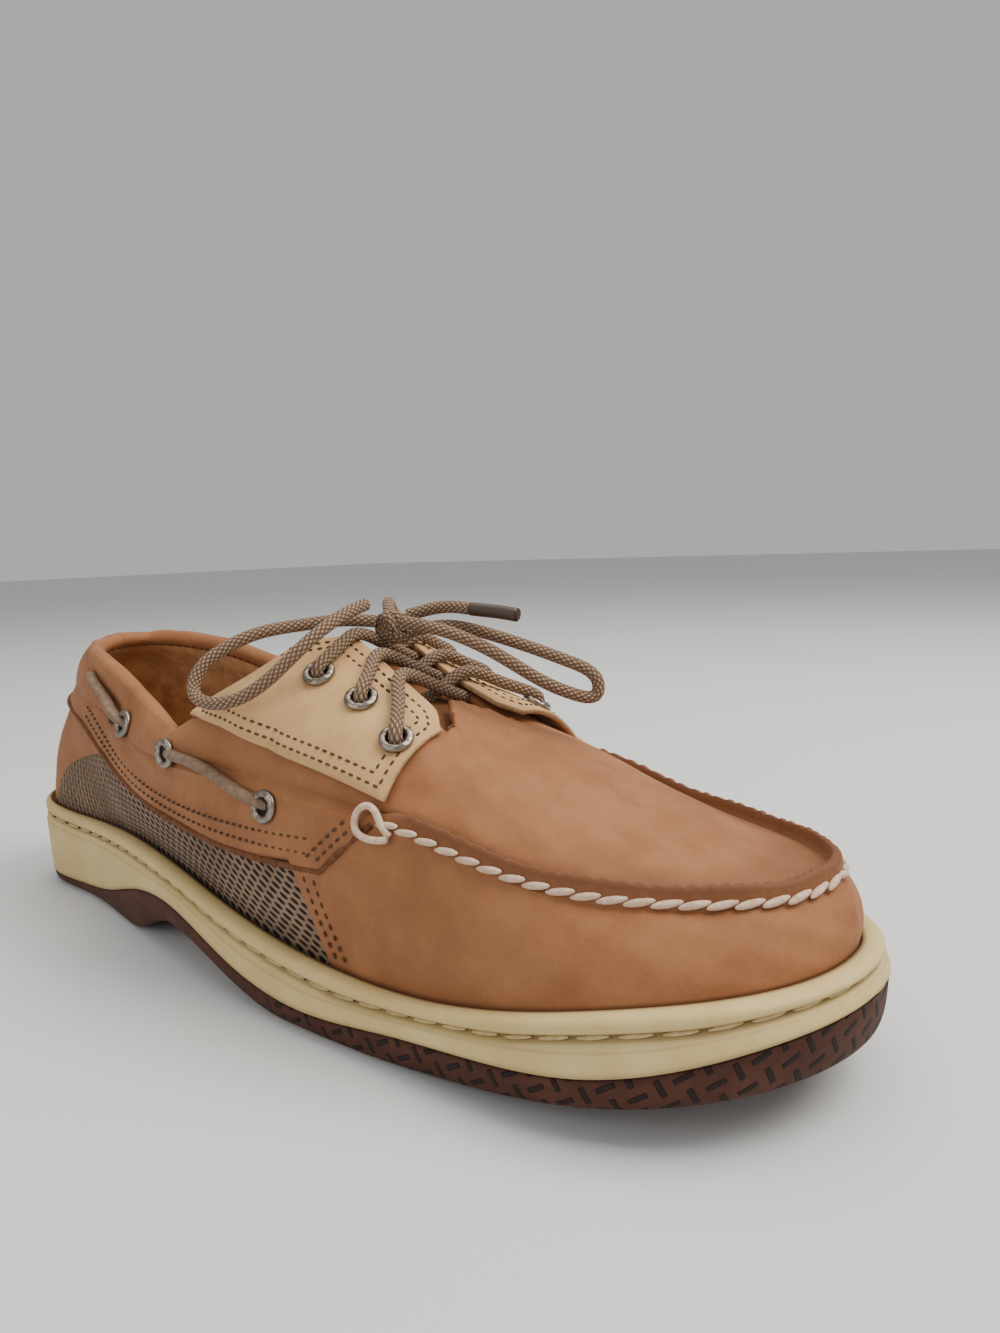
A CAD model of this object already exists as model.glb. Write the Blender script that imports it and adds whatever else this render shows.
import logging
import math
from collections.abc import Callable
from dataclasses import dataclass
from enum import Enum

import bmesh
import bpy
import numpy as np
from mathutils import Matrix, Vector


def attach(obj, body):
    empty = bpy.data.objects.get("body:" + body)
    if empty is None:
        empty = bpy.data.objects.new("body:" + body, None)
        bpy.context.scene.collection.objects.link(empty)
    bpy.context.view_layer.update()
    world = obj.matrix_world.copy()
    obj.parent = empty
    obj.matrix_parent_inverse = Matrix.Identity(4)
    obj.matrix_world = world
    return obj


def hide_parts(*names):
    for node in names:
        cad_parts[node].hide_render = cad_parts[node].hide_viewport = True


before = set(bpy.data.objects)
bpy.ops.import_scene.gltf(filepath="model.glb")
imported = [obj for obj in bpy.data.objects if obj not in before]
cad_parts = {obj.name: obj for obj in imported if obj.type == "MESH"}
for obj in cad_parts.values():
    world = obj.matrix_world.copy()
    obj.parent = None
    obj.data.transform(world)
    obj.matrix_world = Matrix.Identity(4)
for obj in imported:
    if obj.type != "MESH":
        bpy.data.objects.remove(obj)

Array = np.ndarray
Number = float | np.ndarray
BMesh = bmesh.types.BMesh
Piece = bpy.types.Object
Socket = bpy.types.NodeSocket
Value = float | tuple | bpy.types.NodeSocket

log = logging.getLogger("boat_shoe")
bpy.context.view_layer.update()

# Sizes are in millimetres, in the frame of the CAD part, and become metres as a mesh is made.
MM = 0.001
SOLE_LENGTH = 296
HALF_BALL = 51
HEEL_SEAT = 40
RIM_HEIGHT = 28
INSTEP_HEIGHT = 91
LEATHER = 2.2
COLLAR_PAD = 3.8
PANEL_STEP = 1.2
WELL_DEPTH = 4
UPPER_INSET = 5
HEEL_INSET = 0.9
HEEL_BLEND = 0.34
SOLE_FLARE = 1
HEEL_TUCK = 1.4
SEAM_START = 0.615
VAMP_EDGE = 0.5745
VAMP_LEAN = 0.024
VAMP_LEAN_REACH = 0.05
RIDGE_HEIGHT = 3.8
RIDGE_WIDTH = 3
SADDLE_REST = 0.5
SADDLE_THICK = 1.8
SADDLE_REACH = 1.6
SADDLE_LIFT = 2.5
SADDLE_FRONT = 0.611
SADDLE_REAR = 0.45
CURL_START = 0.56
NOTCH_TURN = 0.43
EYELET_SEAT = 0.7
LACE_DIAMETER = 3.4
# Millimetres along the shoe for one unit of turn, near its middle.
TURN_SPAN = 440
# Millimetres up the wall for one unit of level.
LEVEL_SPAN = 40

# Columns: turn, half width, centre line, rim height, joint height, as shares of half ball and rim.
SOLE_TABLE = np.array([
    (0, 0, 0, 1.16, 0.15),
    (0.125, 0.52, 0.01, 1.07, 0.15),
    (0.25, 0.6, 0.03, 0.965, 0.165),
    (0.3125, 0.635, -0.005, 0.99, 0.3),
    (0.375, 0.69, -0.055, 1.0, 0.555),
    (0.4375, 0.758, -0.085, 0.915, 0.6),
    (0.5, 0.833, -0.077, 0.745, 0.34),
    (0.5625, 0.93, -0.005, 0.615, 0.205),
    (0.625, 1.0, 0.079, 0.57, 0.285),
    (0.75, 0.922, 0.048, 0.87, 0.46),
    (0.875, 0.545, 0.022, 1.05, 0.76),
    (1, 0, 0.045, 1.09, 0.87),
])
# Columns: turn, along, outer side, inner side, height.
SHOULDER_TABLE = np.array([
    (0, 0.047, 0, 0, 0.82),
    (0.1, 0.07, -0.25, 0.25, 0.81),
    (0.2, 0.126, -0.47, 0.49, 0.77),
    (0.3, 0.218, -0.62, 0.64, 0.7),
    (0.4, 0.336, -0.75, 0.74, 0.635),
    (0.5, 0.493, -0.83, 0.8, 0.625),
    (0.6, 0.655, -0.79, 0.86, 0.59),
    (0.7, 0.782, -0.68, 0.84, 0.49),
    (0.8, 0.881, -0.5, 0.68, 0.463),
    (0.9, 0.949, -0.2, 0.42, 0.462),
    (1, 0.969, 0.12, 0.12, 0.472),
])
# Columns: turn, along, outer side, inner side, height, dip of the outer and drop of the inner side.
COLLAR_TABLE = np.array([
    (0, 0.08, 0, 0, 0.97, 0, 0),
    (0.1, 0.098, -0.22, 0.22, 0.97, 0.01, 0),
    (0.2, 0.149, -0.42, 0.4, 0.952, 0.02, 0),
    (0.3, 0.235, -0.55, 0.52, 0.895, 0.03, 0),
    (0.37, 0.316, -0.64, 0.6, 0.815, 0.03, 0),
    (0.43, 0.384, -0.7, 0.68, 0.737, 0.01, 0),
])
EDGE_TABLE = np.array([
    (0.43, 0.384, -0.7, 0.68, 0.737, 0.01, 0),
    (0.51, 0.521, -0.4, 0.4, 0.985, 0, 0.03),
    (0.53, 0.544, -0.22, 0.22, 0.99, 0, 0.03),
    (0.61, 0.671, -0.31, 0.2, 0.772, 0, 0.035),
    (0.68, 0.674, -0.26, 0.18, 0.785, 0, 0.03),
    (0.8, 0.66, -0.17, 0.1, 0.81, 0, 0.015),
    (1, 0.636, -0.03, -0.03, 0.83, 0, 0),
])
# Columns: turn, height of the quarter's lower edge as a share of the wall.
PANEL_TABLE = np.array([
    (0, 0.84),
    (0.15, 0.84),
    (0.25, 0.84),
    (0.32, 0.72),
    (0.4, 0.55),
    (0.5, 0.52),
    (0.57, 0.6),
    (0.62, 0.7),
    (1, 0.6),
])
# Columns: turn, swell of the wall, swell of the top.
SWELL_TABLE = np.array([
    (0, 0.14, 0.03),
    (0.2, 0.09, 0.04),
    (0.4, 0.08, 0.05),
    (0.5, 0.07, 0.2),
    (0.6, 0.07, 0.16),
    (0.7, 0.07, 0.1),
    (0.8, 0.07, -0.05),
    (0.9, 0.07, -0.12),
    (1, 0.07, -0.14),
])
# Columns: turn, lower edge of the saddle as a level of the form.
SADDLE_TABLE = np.array([
    (0.45, 1.81),
    (0.47, 1.54),
    (0.49, 1.39),
    (0.51, 1.28),
    (0.53, 1.21),
    (0.55, 1.19),
    (0.57, 1.18),
    (0.588, 1.17),
    (0.6, 1.165),
    (0.611, 1.16),
])
# Columns: turn, level where the counter's edge lies over the mesh behind.
COUNTER_TABLE = np.array([
    (0.13, -0.2),
    (0.15, 0.02),
    (0.17, 0.22),
    (0.21, 0.44),
    (0.26, 0.6),
    (0.33, 0.78),
])
# Columns: turn, level of each eyelet through the saddle, and along the side.
SADDLE_EYELETS = {"top": (0.537, 1.695), "middle": (0.568, 1.705), "front": (0.6, 1.595)}
SIDE_EYELETS = {"side_front": (0.532, 0.9), "side_middle": (0.439, 1.23), "side_back": (0.354, 1.37)}
HEEL_LACE_END = (0.24, 1.62)


class Side(Enum):
    """Outer and inner side of the right shoe, with the sign of Y."""

    LATERAL = -1
    MEDIAL = 1


class Curve:
    """Natural cubic spline through one column of a table."""

    def __init__(self, table: Array, column: int) -> None:
        """Args: table: rows with the parameter first. column: which column to follow."""
        self.at, self.value = table[:, 0], table[:, column]
        n, step = len(self.at), np.diff(self.at)
        matrix, right = np.eye(n), np.zeros(n)
        for i in range(1, n - 1):
            matrix[i, i - 1:i + 2] = step[i - 1], 2 * (step[i - 1] + step[i]), step[i]
            slopes = np.diff(self.value[i - 1:i + 2]) / step[i - 1:i + 1]
            right[i] = 6 * (slopes[1] - slopes[0])
        self.second = np.linalg.solve(matrix, right)

    def __call__(self, u: Number) -> Number:
        """Args: u: parameter or array. Returns: the value there."""
        t = np.clip(u, self.at[0], self.at[-1])
        k = np.clip(np.searchsorted(self.at, t, side="right") - 1, 0, len(self.at) - 2)
        h = self.at[k + 1] - self.at[k]
        a, b = (self.at[k + 1] - t) / h, (t - self.at[k]) / h
        bend = ((a**3 - a) * self.second[k] + (b**3 - b) * self.second[k + 1]) * h * h / 6
        return a * self.value[k] + b * self.value[k + 1] + bend


def smooth(x: Number, low: Number, high: Number) -> Number:
    """Args: x: value or array. low, high: ends of the ramp. Returns: smooth step from 0 to 1."""
    t = np.clip((np.asarray(x, float) - low) / (high - low), 0, 1)
    return t * t * (3 - 2 * t)


def unit(v: Array) -> Array:
    """Args: v: vectors along the last axis. Returns: them at length one."""
    return v / np.maximum(np.linalg.norm(v, axis=-1, keepdims=True), 1e-9)


def stack(x: Number, y: Number, z: Number) -> Array:
    """Args: x, y, z: arrays. Returns: points along a last axis."""
    return np.stack(np.broadcast_arrays(np.asarray(x, float), y, z), axis=-1)


class ShoeForm:
    """The shoe's smooth form: sole outline, wall of the upper and its top edge, in millimetres."""

    def __init__(self) -> None:
        """Lays one curve through each column of the tables."""
        self.half, self.centre = Curve(SOLE_TABLE, 1), Curve(SOLE_TABLE, 2)
        self.rim_share, self.joint_share = Curve(SOLE_TABLE, 3), Curve(SOLE_TABLE, 4)
        self.shoulders = [Curve(SHOULDER_TABLE, i) for i in range(1, 5)]
        self.collar = [Curve(COLLAR_TABLE, i) for i in range(1, 7)]
        self.panel = Curve(PANEL_TABLE, 1)
        self.swell_low, self.swell_high = Curve(SWELL_TABLE, 1), Curve(SWELL_TABLE, 2)
        self.saddle_low = Curve(SADDLE_TABLE, 1)
        self.counter = Curve(COUNTER_TABLE, 1)

    def rim(self, turn: Number) -> Number:
        """Args: turn: place along the outline. Returns: height of the sole's rim."""
        return RIM_HEIGHT * self.rim_share(turn)

    def joint(self, turn: Number) -> Number:
        """Args: turn: place along the outline. Returns: height of the midsole's lower edge."""
        return RIM_HEIGHT * self.joint_share(turn)

    def heel_share(self, turn: Number) -> Number:
        """Args: turn: place along the outline. Returns: 1 at the heel, 0 from the arch on."""
        return 1 - smooth(turn, 0, HEEL_BLEND)

    def inset(self, turn: Number) -> Number:
        """Args: turn: place along the outline. Returns: how far inside the rim the upper stands."""
        return UPPER_INSET + (HEEL_INSET - UPPER_INSET) * self.heel_share(turn)

    def joint_inset(self, turn: Number) -> Number:
        """Args: turn: place along the outline. Returns: inset of the midsole's lower edge."""
        return -SOLE_FLARE + (HEEL_TUCK + SOLE_FLARE) * self.heel_share(turn)

    def flat(self, turn: Number, side: Number) -> Array:
        """Args: turn, side: place on the outline. Returns: its X and Y."""
        x = (1 - np.cos(np.pi * turn)) / 2 * SOLE_LENGTH - HEEL_SEAT
        half = np.maximum(self.half(turn), 0)
        return np.stack([x, HALF_BALL * (self.centre(turn) + side * half)], axis=-1)

    def outline(self, turn: Number, side: Number, inset: Number, z: Number) -> Array:
        """Args: turn, side: place. inset: distance inwards. z: height. Returns: points."""
        turn, side = np.broadcast_arrays(np.asarray(turn, float), np.asarray(side, float))
        here = self.flat(turn, side)
        step = 0.002
        run = unit(self.flat(np.minimum(turn + step, 1), side) - self.flat(np.maximum(turn - step, 0), side))
        inwards = np.stack([side * run[..., 1], -side * run[..., 0]], axis=-1)
        ends = np.stack([np.where(turn <= 0, 1.0, -1.0), np.zeros_like(turn)], axis=-1)
        inwards = np.where(((turn <= 0) | (turn >= 1))[..., None], ends, inwards)
        place = here + inwards * np.asarray(inset, float)[..., None]
        return stack(place[..., 0], place[..., 1], z)

    def feather(self, turn: Number, side: Number) -> Array:
        """Args: turn, side: place. Returns: where the upper meets the sole's rim."""
        return self.outline(turn, side, self.inset(turn), self.rim(turn))

    def shoulder(self, turn: Number, side: Number) -> Array:
        """Args: turn, side: place. Returns: the line between wall and top."""
        along, lateral, medial, height = (curve(turn) for curve in self.shoulders)
        across = np.where(side < 0, lateral, medial)
        return stack(along * SOLE_LENGTH - HEEL_SEAT, across * HALF_BALL, height * INSTEP_HEIGHT)

    def top_edge(self, turn: Number, side: Number) -> Array:
        """Args: turn, side: place. Returns: the collar's and the throat's edge."""
        back = [curve(turn) for curve in self.collar]
        ahead = [np.interp(turn, EDGE_TABLE[:, 0], EDGE_TABLE[:, i]) for i in range(1, 7)]
        along, lateral, medial, height, dip, fall = (
            np.where(turn <= NOTCH_TURN, a, b) for a, b in zip(back, ahead)
        )
        across = np.where(side < 0, lateral, medial)
        drop = np.where(side < 0, dip, fall)
        return stack(along * SOLE_LENGTH - HEEL_SEAT, across * HALF_BALL, (height - drop) * INSTEP_HEIGHT)

    def arch(self, low: Number, high: Number, share: Number, out: Array, swell: Number) -> Array:
        """Args: low, high: ends. share: way along. out, swell: push of the middle. Returns: points."""
        run = high - low
        along = unit(run)
        push = unit(out - along * (out * along).sum(-1, keepdims=True))
        share = np.asarray(share, float)[..., None]
        return low + run * share + push * (4 * share * (1 - share) * np.asarray(swell)[..., None])

    def point(self, turn: Number, side: Number, level: Number) -> Array:
        """Args: turn, side, level: place on the form. Returns: points of the outer surface."""
        turn, side, level = np.broadcast_arrays(*(np.asarray(v, float) for v in (turn, side, level)))
        low, middle, high = self.feather(turn, side), self.shoulder(turn, side), self.top_edge(turn, side)
        out = unit(self.outline(turn, side, 0.0, 0.0) - self.outline(turn, side, 1.0, 0.0))
        wall = self.arch(low, middle, np.minimum(level, 1), out, self.swell_low(turn) * RIM_HEIGHT)
        up = np.array([0, 0, 1.0])
        share = np.clip(level - 1, 0, 1)
        top = self.arch(middle, high, share, out + up, self.swell_high(turn) * RIM_HEIGHT)
        return np.where((level <= 1)[..., None], wall, top)

    def normal(self, turn: Number, side: Number, level: Number) -> Array:
        """Args: turn, side, level: place on the form. Returns: outward directions."""
        turn, side, level = np.broadcast_arrays(*(np.asarray(v, float) for v in (turn, side, level)))
        step, reach = 0.006, 0.03
        under, over = turn < step, turn + step > 1
        before = self.point(np.abs(turn - step), np.where(under, -side, side), level)
        after = self.point(np.where(over, 2 - turn - step, turn + step), np.where(over, -side, side), level)
        low = self.point(turn, side, np.maximum(level - reach, np.where(level > 1, 1, 0)))
        high = self.point(turn, side, np.minimum(level + reach, np.where(level < 1, 1, 2)))
        return unit(-side[..., None] * np.cross(after - before, high - low))

    def raised(
            self, turn: Number, side: Number, level: Number, lift: Number, reach: Number = 0.0
    ) -> Array:
        """Args: place, lift along the normal and reach past the top edge. Returns: points."""
        turn, side, level = np.broadcast_arrays(*(np.asarray(v, float) for v in (turn, side, level)))
        held = np.minimum(level, 2)
        top = self.point(turn, side, np.full_like(held, 2.0))
        run = unit(top - self.point(turn, side, np.full_like(held, 1.9)))
        lift, reach = (np.broadcast_to(np.asarray(v, float), held.shape)[..., None] for v in (lift, reach))
        return self.point(turn, side, held) + self.normal(turn, side, held) * lift + run * reach

    def saddle_curl(self, turn: Number) -> Number:
        """Args: turn: place. Returns: how far the inner saddle's front end lifts, 0 to 1."""
        return smooth(turn, CURL_START, SADDLE_FRONT)


FORM = ShoeForm()


@dataclass
class MeshMaker:
    """Makes mesh objects from bmesh operators and places their vertices."""

    body: str
    total: int = 0

    def finish(
            self, name: str, mesh_data: BMesh, materials: list, smooth_shading: bool = True
    ) -> Piece:
        """Args: name, bmesh, materials and shading. Returns: the object, riding on the body."""
        mesh = bpy.data.meshes.new(name)
        mesh_data.to_mesh(mesh)
        mesh_data.free()
        for material in materials:
            mesh.materials.append(material)
        for polygon in mesh.polygons:
            polygon.use_smooth = smooth_shading
        thing = bpy.data.objects.new(name, mesh)
        bpy.context.scene.collection.objects.link(thing)
        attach(thing, self.body)
        count = sum(len(p.vertices) - 2 for p in mesh.polygons)
        self.total += count
        log.info("%s: %d triangles", name, count)
        return thing

    def sheet(
            self, points: Array, uv: Array, values: dict | None = None, wrap: bool = False,
            rows_wrap: bool = False
    ) -> BMesh:
        """A grid laid on points.

        Args: points: rows by columns by 3, in mm. uv: rows by columns by 2. values: named fields.
            wrap: the last column joins the first. rows_wrap: the last row joins the first.
        Returns: the bmesh.
        """
        if wrap:
            points, uv = (np.concatenate([v, v[:, :1]], axis=1) for v in (points, uv))
            values = {k: np.concatenate([v, v[:, :1]], axis=1) for k, v in (values or {}).items()}
        if rows_wrap:
            points, uv = (np.concatenate([v, v[:1]], axis=0) for v in (points, uv))
            values = {k: np.concatenate([v, v[:1]], axis=0) for k, v in (values or {}).items()}
        rows, columns = points.shape[:2]
        grid = bmesh.new()
        bmesh.ops.create_grid(grid, x_segments=columns - 1, y_segments=rows - 1, size=1)
        rises = [round((vert.co.y + 1) / 2 * (rows - 1)) for vert in grid.verts]
        steps = [round((vert.co.x + 1) / 2 * (columns - 1)) for vert in grid.verts]
        places = list(zip(rises, steps))
        layers = {k: grid.verts.layers.float.new(k) for k in (values or {})}
        for vert, (r, c) in zip(grid.verts, places):
            vert.co = Vector(points[r, c] * MM)
            for name, layer in layers.items():
                vert[layer] = float(values[name][r, c])
        layer = grid.loops.layers.uv.new("UVMap")
        grid.verts.index_update()
        place_of = {vert.index: place for vert, place in zip(grid.verts, places)}
        for face in grid.faces:
            for loop in face.loops:
                loop[layer].uv = uv[place_of[loop.vert.index]]
        bmesh.ops.remove_doubles(grid, verts=grid.verts, dist=2e-6)
        bmesh.ops.recalc_face_normals(grid, faces=grid.faces)
        return grid

    def tube(
            self, path: Array | list, radius: Number, sides: int = 12, steps: int | None = None,
            ends: bool = True, squash: float = 1.0
    ) -> BMesh:
        """A round strand along a path.

        Args: path: points in mm. radius: mm or one per point. sides: of the section. steps: rings.
            ends: closes both ends. squash: height of the section against its width.
        Returns: the bmesh, with UV in metres along and a share around.
        """
        line = smooth_path(path, steps) if steps else np.asarray(path, float)
        n = len(line)
        radius = np.broadcast_to(np.asarray(radius, float), (n,)) if np.ndim(radius) == 0 else np.interp(
            np.linspace(0, 1, n), np.linspace(0, 1, len(radius)), radius)
        tangent = unit(np.gradient(line, axis=0))
        normal = np.zeros_like(line)
        start = np.cross(tangent[0], [0, 0, 1.0])
        normal[0] = unit(start if np.linalg.norm(start) > 0.1 else np.cross(tangent[0], [1.0, 0, 0]))
        for i in range(1, n):
            carried = normal[i - 1] - tangent[i] * np.dot(normal[i - 1], tangent[i])
            normal[i] = unit(carried)
        across = np.cross(tangent, normal)
        angle = np.linspace(0, 2 * np.pi, sides + 1)
        ring = (
            normal[:, None] * np.cos(angle)[None, :, None]
            + across[:, None] * np.sin(angle)[None, :, None] * squash
        )
        points = line[:, None] + ring * radius[:, None, None]
        length = np.concatenate([[0], np.cumsum(np.linalg.norm(np.diff(line, axis=0), axis=1))]) * MM
        uv = np.stack(np.broadcast_arrays(length[:, None], angle[None] / (2 * np.pi)), axis=-1)
        made = self.sheet(points, uv)
        if ends:
            edges = [e for e in made.edges if e.is_boundary]
            bmesh.ops.edgeloop_fill(made, edges=edges)
            bmesh.ops.recalc_face_normals(made, faces=made.faces)
        return made


def join(target: BMesh, part: BMesh) -> None:
    """Args: target: mesh that grows. part: mesh that is added to it and freed."""
    mesh = bpy.data.meshes.new("part")
    part.to_mesh(mesh)
    part.free()
    target.from_mesh(mesh)
    bpy.data.meshes.remove(mesh)


def smooth_path(points: Array | list, steps: int) -> Array:
    """Args: points: corners of a route. steps: number of points wanted. Returns: an even smooth line."""
    points = np.asarray(points, float)
    chord = np.linalg.norm(np.diff(points, axis=0), axis=1) ** 0.5
    at = np.concatenate([[0], np.cumsum(chord)])
    curves = [Curve(np.column_stack([at, points[:, i]]), 1) for i in range(3)]
    fine = np.linspace(0, at[-1], steps * 8)
    line = np.stack([curve(fine) for curve in curves], axis=-1)
    length = np.concatenate([[0], np.cumsum(np.linalg.norm(np.diff(line, axis=0), axis=1))])
    even = np.linspace(0, length[-1], steps)
    return np.stack([np.interp(even, length, line[:, i]) for i in range(3)], axis=-1)


def path_length(line: Array) -> float:
    """Args: line: points. Returns: its length."""
    return float(np.linalg.norm(np.diff(np.asarray(line, float), axis=0), axis=1).sum())


@dataclass
class Graph:
    """Short ways to write a shader node tree."""

    tree: bpy.types.NodeTree

    def node(self, kind: str, **settings: object) -> bpy.types.Node:
        """Args: kind: node type. settings: its options. Returns: the node."""
        made = self.tree.nodes.new(kind)
        for name, value in settings.items():
            setattr(made, name, value)
        return made

    def put(self, socket: Socket, value: Value) -> None:
        """Args: socket: an input. value: a constant or an output."""
        if isinstance(value, bpy.types.NodeSocket):
            self.tree.links.new(value, socket)
        else:
            socket.default_value = value

    def math(self, operation: str, a: Value, b: Value = 0.0, c: Value = 0.0) -> Socket:
        """Args: operation and its values. Returns: the result."""
        made = self.node("ShaderNodeMath", operation=operation)
        for socket, value in zip(made.inputs, (a, b, c)):
            self.put(socket, value)
        return made.outputs[0]

    def mix(self, share: Value, a: Value, b: Value) -> Socket:
        """Args: share: 0 for a, 1 for b. a, b: colours. Returns: the colour between."""
        made = self.node("ShaderNodeMix", data_type="RGBA")
        self.put(made.inputs[0], share)
        for socket, value in zip((made.inputs[6], made.inputs[7]), (a, b)):
            self.put(socket, (*value, 1.0) if isinstance(value, tuple) and len(value) == 3 else value)
        return made.outputs[2]

    def ramp(
            self, value: Value, low: float, high: float, to_low: float = 0.0, to_high: float = 1.0
    ) -> Socket:
        """Args: value and its range, and the range wanted. Returns: it, eased between."""
        made = self.node("ShaderNodeMapRange", interpolation_type="SMOOTHSTEP")
        for socket, number in zip(made.inputs, (value, low, high, to_low, to_high)):
            self.put(socket, number)
        return made.outputs[0]

    def noise(
            self, vector: Socket, scale: float, detail: float = 4.0, roughness: float = 0.55
    ) -> Socket:
        """Args: vector: coordinates. scale, detail, roughness: of the noise. Returns: its value."""
        made = self.node("ShaderNodeTexNoise")
        self.put(made.inputs["Vector"], vector)
        self.put(made.inputs["Scale"], scale)
        self.put(made.inputs["Detail"], detail)
        self.put(made.inputs["Roughness"], roughness)
        return made.outputs["Fac"]

    def attribute(self, name: str) -> Socket:
        """Args: name: of a vertex field. Returns: its value."""
        return self.node("ShaderNodeAttribute", attribute_name=name).outputs["Fac"]

    def uv(self) -> tuple:
        """Returns: U and V of the piece's own map, in metres where it is a surface."""
        made = self.node("ShaderNodeUVMap", uv_map="UVMap")
        split = self.node("ShaderNodeSeparateXYZ")
        self.put(split.inputs[0], made.outputs[0])
        return split.outputs[0], split.outputs[1]

    def object_place(self) -> Socket:
        """Returns: the place in the object's own coordinates, in metres."""
        return self.node("ShaderNodeTexCoord").outputs["Object"]

    def bump(
            self, height: Value, distance: float, strength: float = 1.0,
            normal: Socket | None = None
    ) -> Socket:
        """Args: height: 0 to 1. distance: its real height in metres. Returns: a normal."""
        made = self.node("ShaderNodeBump")
        self.put(made.inputs["Height"], height)
        self.put(made.inputs["Distance"], distance)
        self.put(made.inputs["Strength"], strength)
        if normal is not None:
            self.put(made.inputs["Normal"], normal)
        return made.outputs[0]


def shader_group(name: str, inputs: dict, outputs: tuple, build: Callable) -> bpy.types.NodeTree:
    """Args: name, named inputs with defaults, output names and a builder. Returns: the node group."""
    tree = bpy.data.node_groups.new(name, "ShaderNodeTree")
    for label, default in inputs.items():
        made = tree.interface.new_socket(label, in_out="INPUT", socket_type="NodeSocketFloat")
        made.default_value = default
    for label in outputs:
        tree.interface.new_socket(label, in_out="OUTPUT", socket_type="NodeSocketFloat")
    graph = Graph(tree)
    source, sink = graph.node("NodeGroupInput"), graph.node("NodeGroupOutput")
    for label, value in build(graph, source.outputs).items():
        graph.put(sink.inputs[label], value)
    return tree


def use_group(graph: Graph, tree: bpy.types.NodeTree, **values: Value) -> bpy.types.bpy_prop_collection:
    """Args: graph: where to use it. tree: the group. values: its inputs. Returns: its outputs."""
    made = graph.node("ShaderNodeGroup", node_tree=tree)
    for label, value in values.items():
        graph.put(made.inputs[label], value)
    return made.outputs


def build_grain(graph: Graph, source: object) -> dict:
    """Leather's pores, fine creases and mottling. Args: graph, source. Returns: outputs by name."""
    place = graph.object_place()
    pores = graph.noise(place, 1500.0, 2.0)
    wrinkles = graph.noise(place, 420.0, 3.0, 0.6)
    mottle = graph.noise(place, 60.0, 6.0, 0.68)
    height = graph.math("ADD", graph.math("MULTIPLY", pores, 0.4), graph.math("MULTIPLY", wrinkles, 0.6))
    scuff = graph.ramp(graph.noise(place, 95.0, 6.0, 0.7), 0.58, 0.74)
    return {"Height": height, "Mottle": mottle, "Scuff": scuff}


def build_weave(graph: Graph, source: object) -> dict:
    """Open mesh: staggered rows of holes that turn to ribs. Args: graph, source. Returns: outputs."""
    u, v = source["Along"], source["Up"]
    pitch_u, pitch_v = 0.0036, 0.0021
    row = graph.math("FLOOR", graph.math("DIVIDE", v, pitch_v))
    shift = graph.math("MULTIPLY", graph.math("PINGPONG", row, 1.0), 0.5)
    cell_u = graph.math("FRACT", graph.math("ADD", graph.math("DIVIDE", u, pitch_u), shift))
    cell_v = graph.math("FRACT", graph.math("DIVIDE", v, pitch_v))
    du = graph.math("MULTIPLY", graph.math("SUBTRACT", cell_u, 0.5), 1.9)
    dv = graph.math("MULTIPLY", graph.math("SUBTRACT", cell_v, 0.5), 1.7)
    lean = graph.math("ADD", du, graph.math("MULTIPLY", dv, 0.35))
    away = graph.math("ADD", graph.math("POWER", graph.math("ABSOLUTE", lean), 2.0),
                      graph.math("POWER", graph.math("ABSOLUTE", dv), 2.0))
    hole = graph.ramp(graph.math("SQRT", away), 0.72, 0.46)
    rib = graph.math("SINE", graph.math("MULTIPLY", graph.math("DIVIDE", u, 0.0021), 2 * math.pi))
    groove = graph.ramp(rib, 0.1, -0.75)
    open_share = source["Openness"]
    closed_share = graph.math("SUBTRACT", 1.0, open_share)
    dark = graph.math("ADD", graph.math("MULTIPLY", hole, open_share),
                      graph.math("MULTIPLY", groove, graph.math("MULTIPLY", closed_share, 0.75)))
    thread = graph.math("SINE", graph.math("MULTIPLY", graph.math("DIVIDE", v, 0.0007), 2 * math.pi))
    height = graph.math("SUBTRACT", graph.math("MULTIPLY", thread, 0.08), dark)
    return {"Hole": dark, "Height": height}


def build_sipes(graph: Graph, source: object) -> dict:
    """Short slits in a basket pattern. Args: graph, source. Returns: outputs by name."""
    size = 0.0051
    lean = 0.45
    turned_u = graph.math("ADD", source["Along"], graph.math("MULTIPLY", source["Up"], lean))
    turned_v = graph.math("SUBTRACT", source["Up"], graph.math("MULTIPLY", source["Along"], lean))
    u = graph.math("DIVIDE", turned_u, size)
    v = graph.math("DIVIDE", turned_v, size)
    cell = graph.math("ADD", graph.math("FLOOR", u), graph.math("FLOOR", v))
    across = graph.math("PINGPONG", cell, 1.0)
    fu = graph.math("ABSOLUTE", graph.math("SUBTRACT", graph.math("FRACT", u), 0.5))
    fv = graph.math("ABSOLUTE", graph.math("SUBTRACT", graph.math("FRACT", v), 0.5))
    long_side = graph.math("ADD", graph.math("MULTIPLY", fu, across),
                           graph.math("MULTIPLY", fv, graph.math("SUBTRACT", 1.0, across)))
    short_side = graph.math("ADD", graph.math("MULTIPLY", fv, across),
                            graph.math("MULTIPLY", fu, graph.math("SUBTRACT", 1.0, across)))
    slit = graph.math("MULTIPLY", graph.ramp(long_side, 0.45, 0.39), graph.ramp(short_side, 0.15, 0.09))
    return {"Slit": slit}


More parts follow.
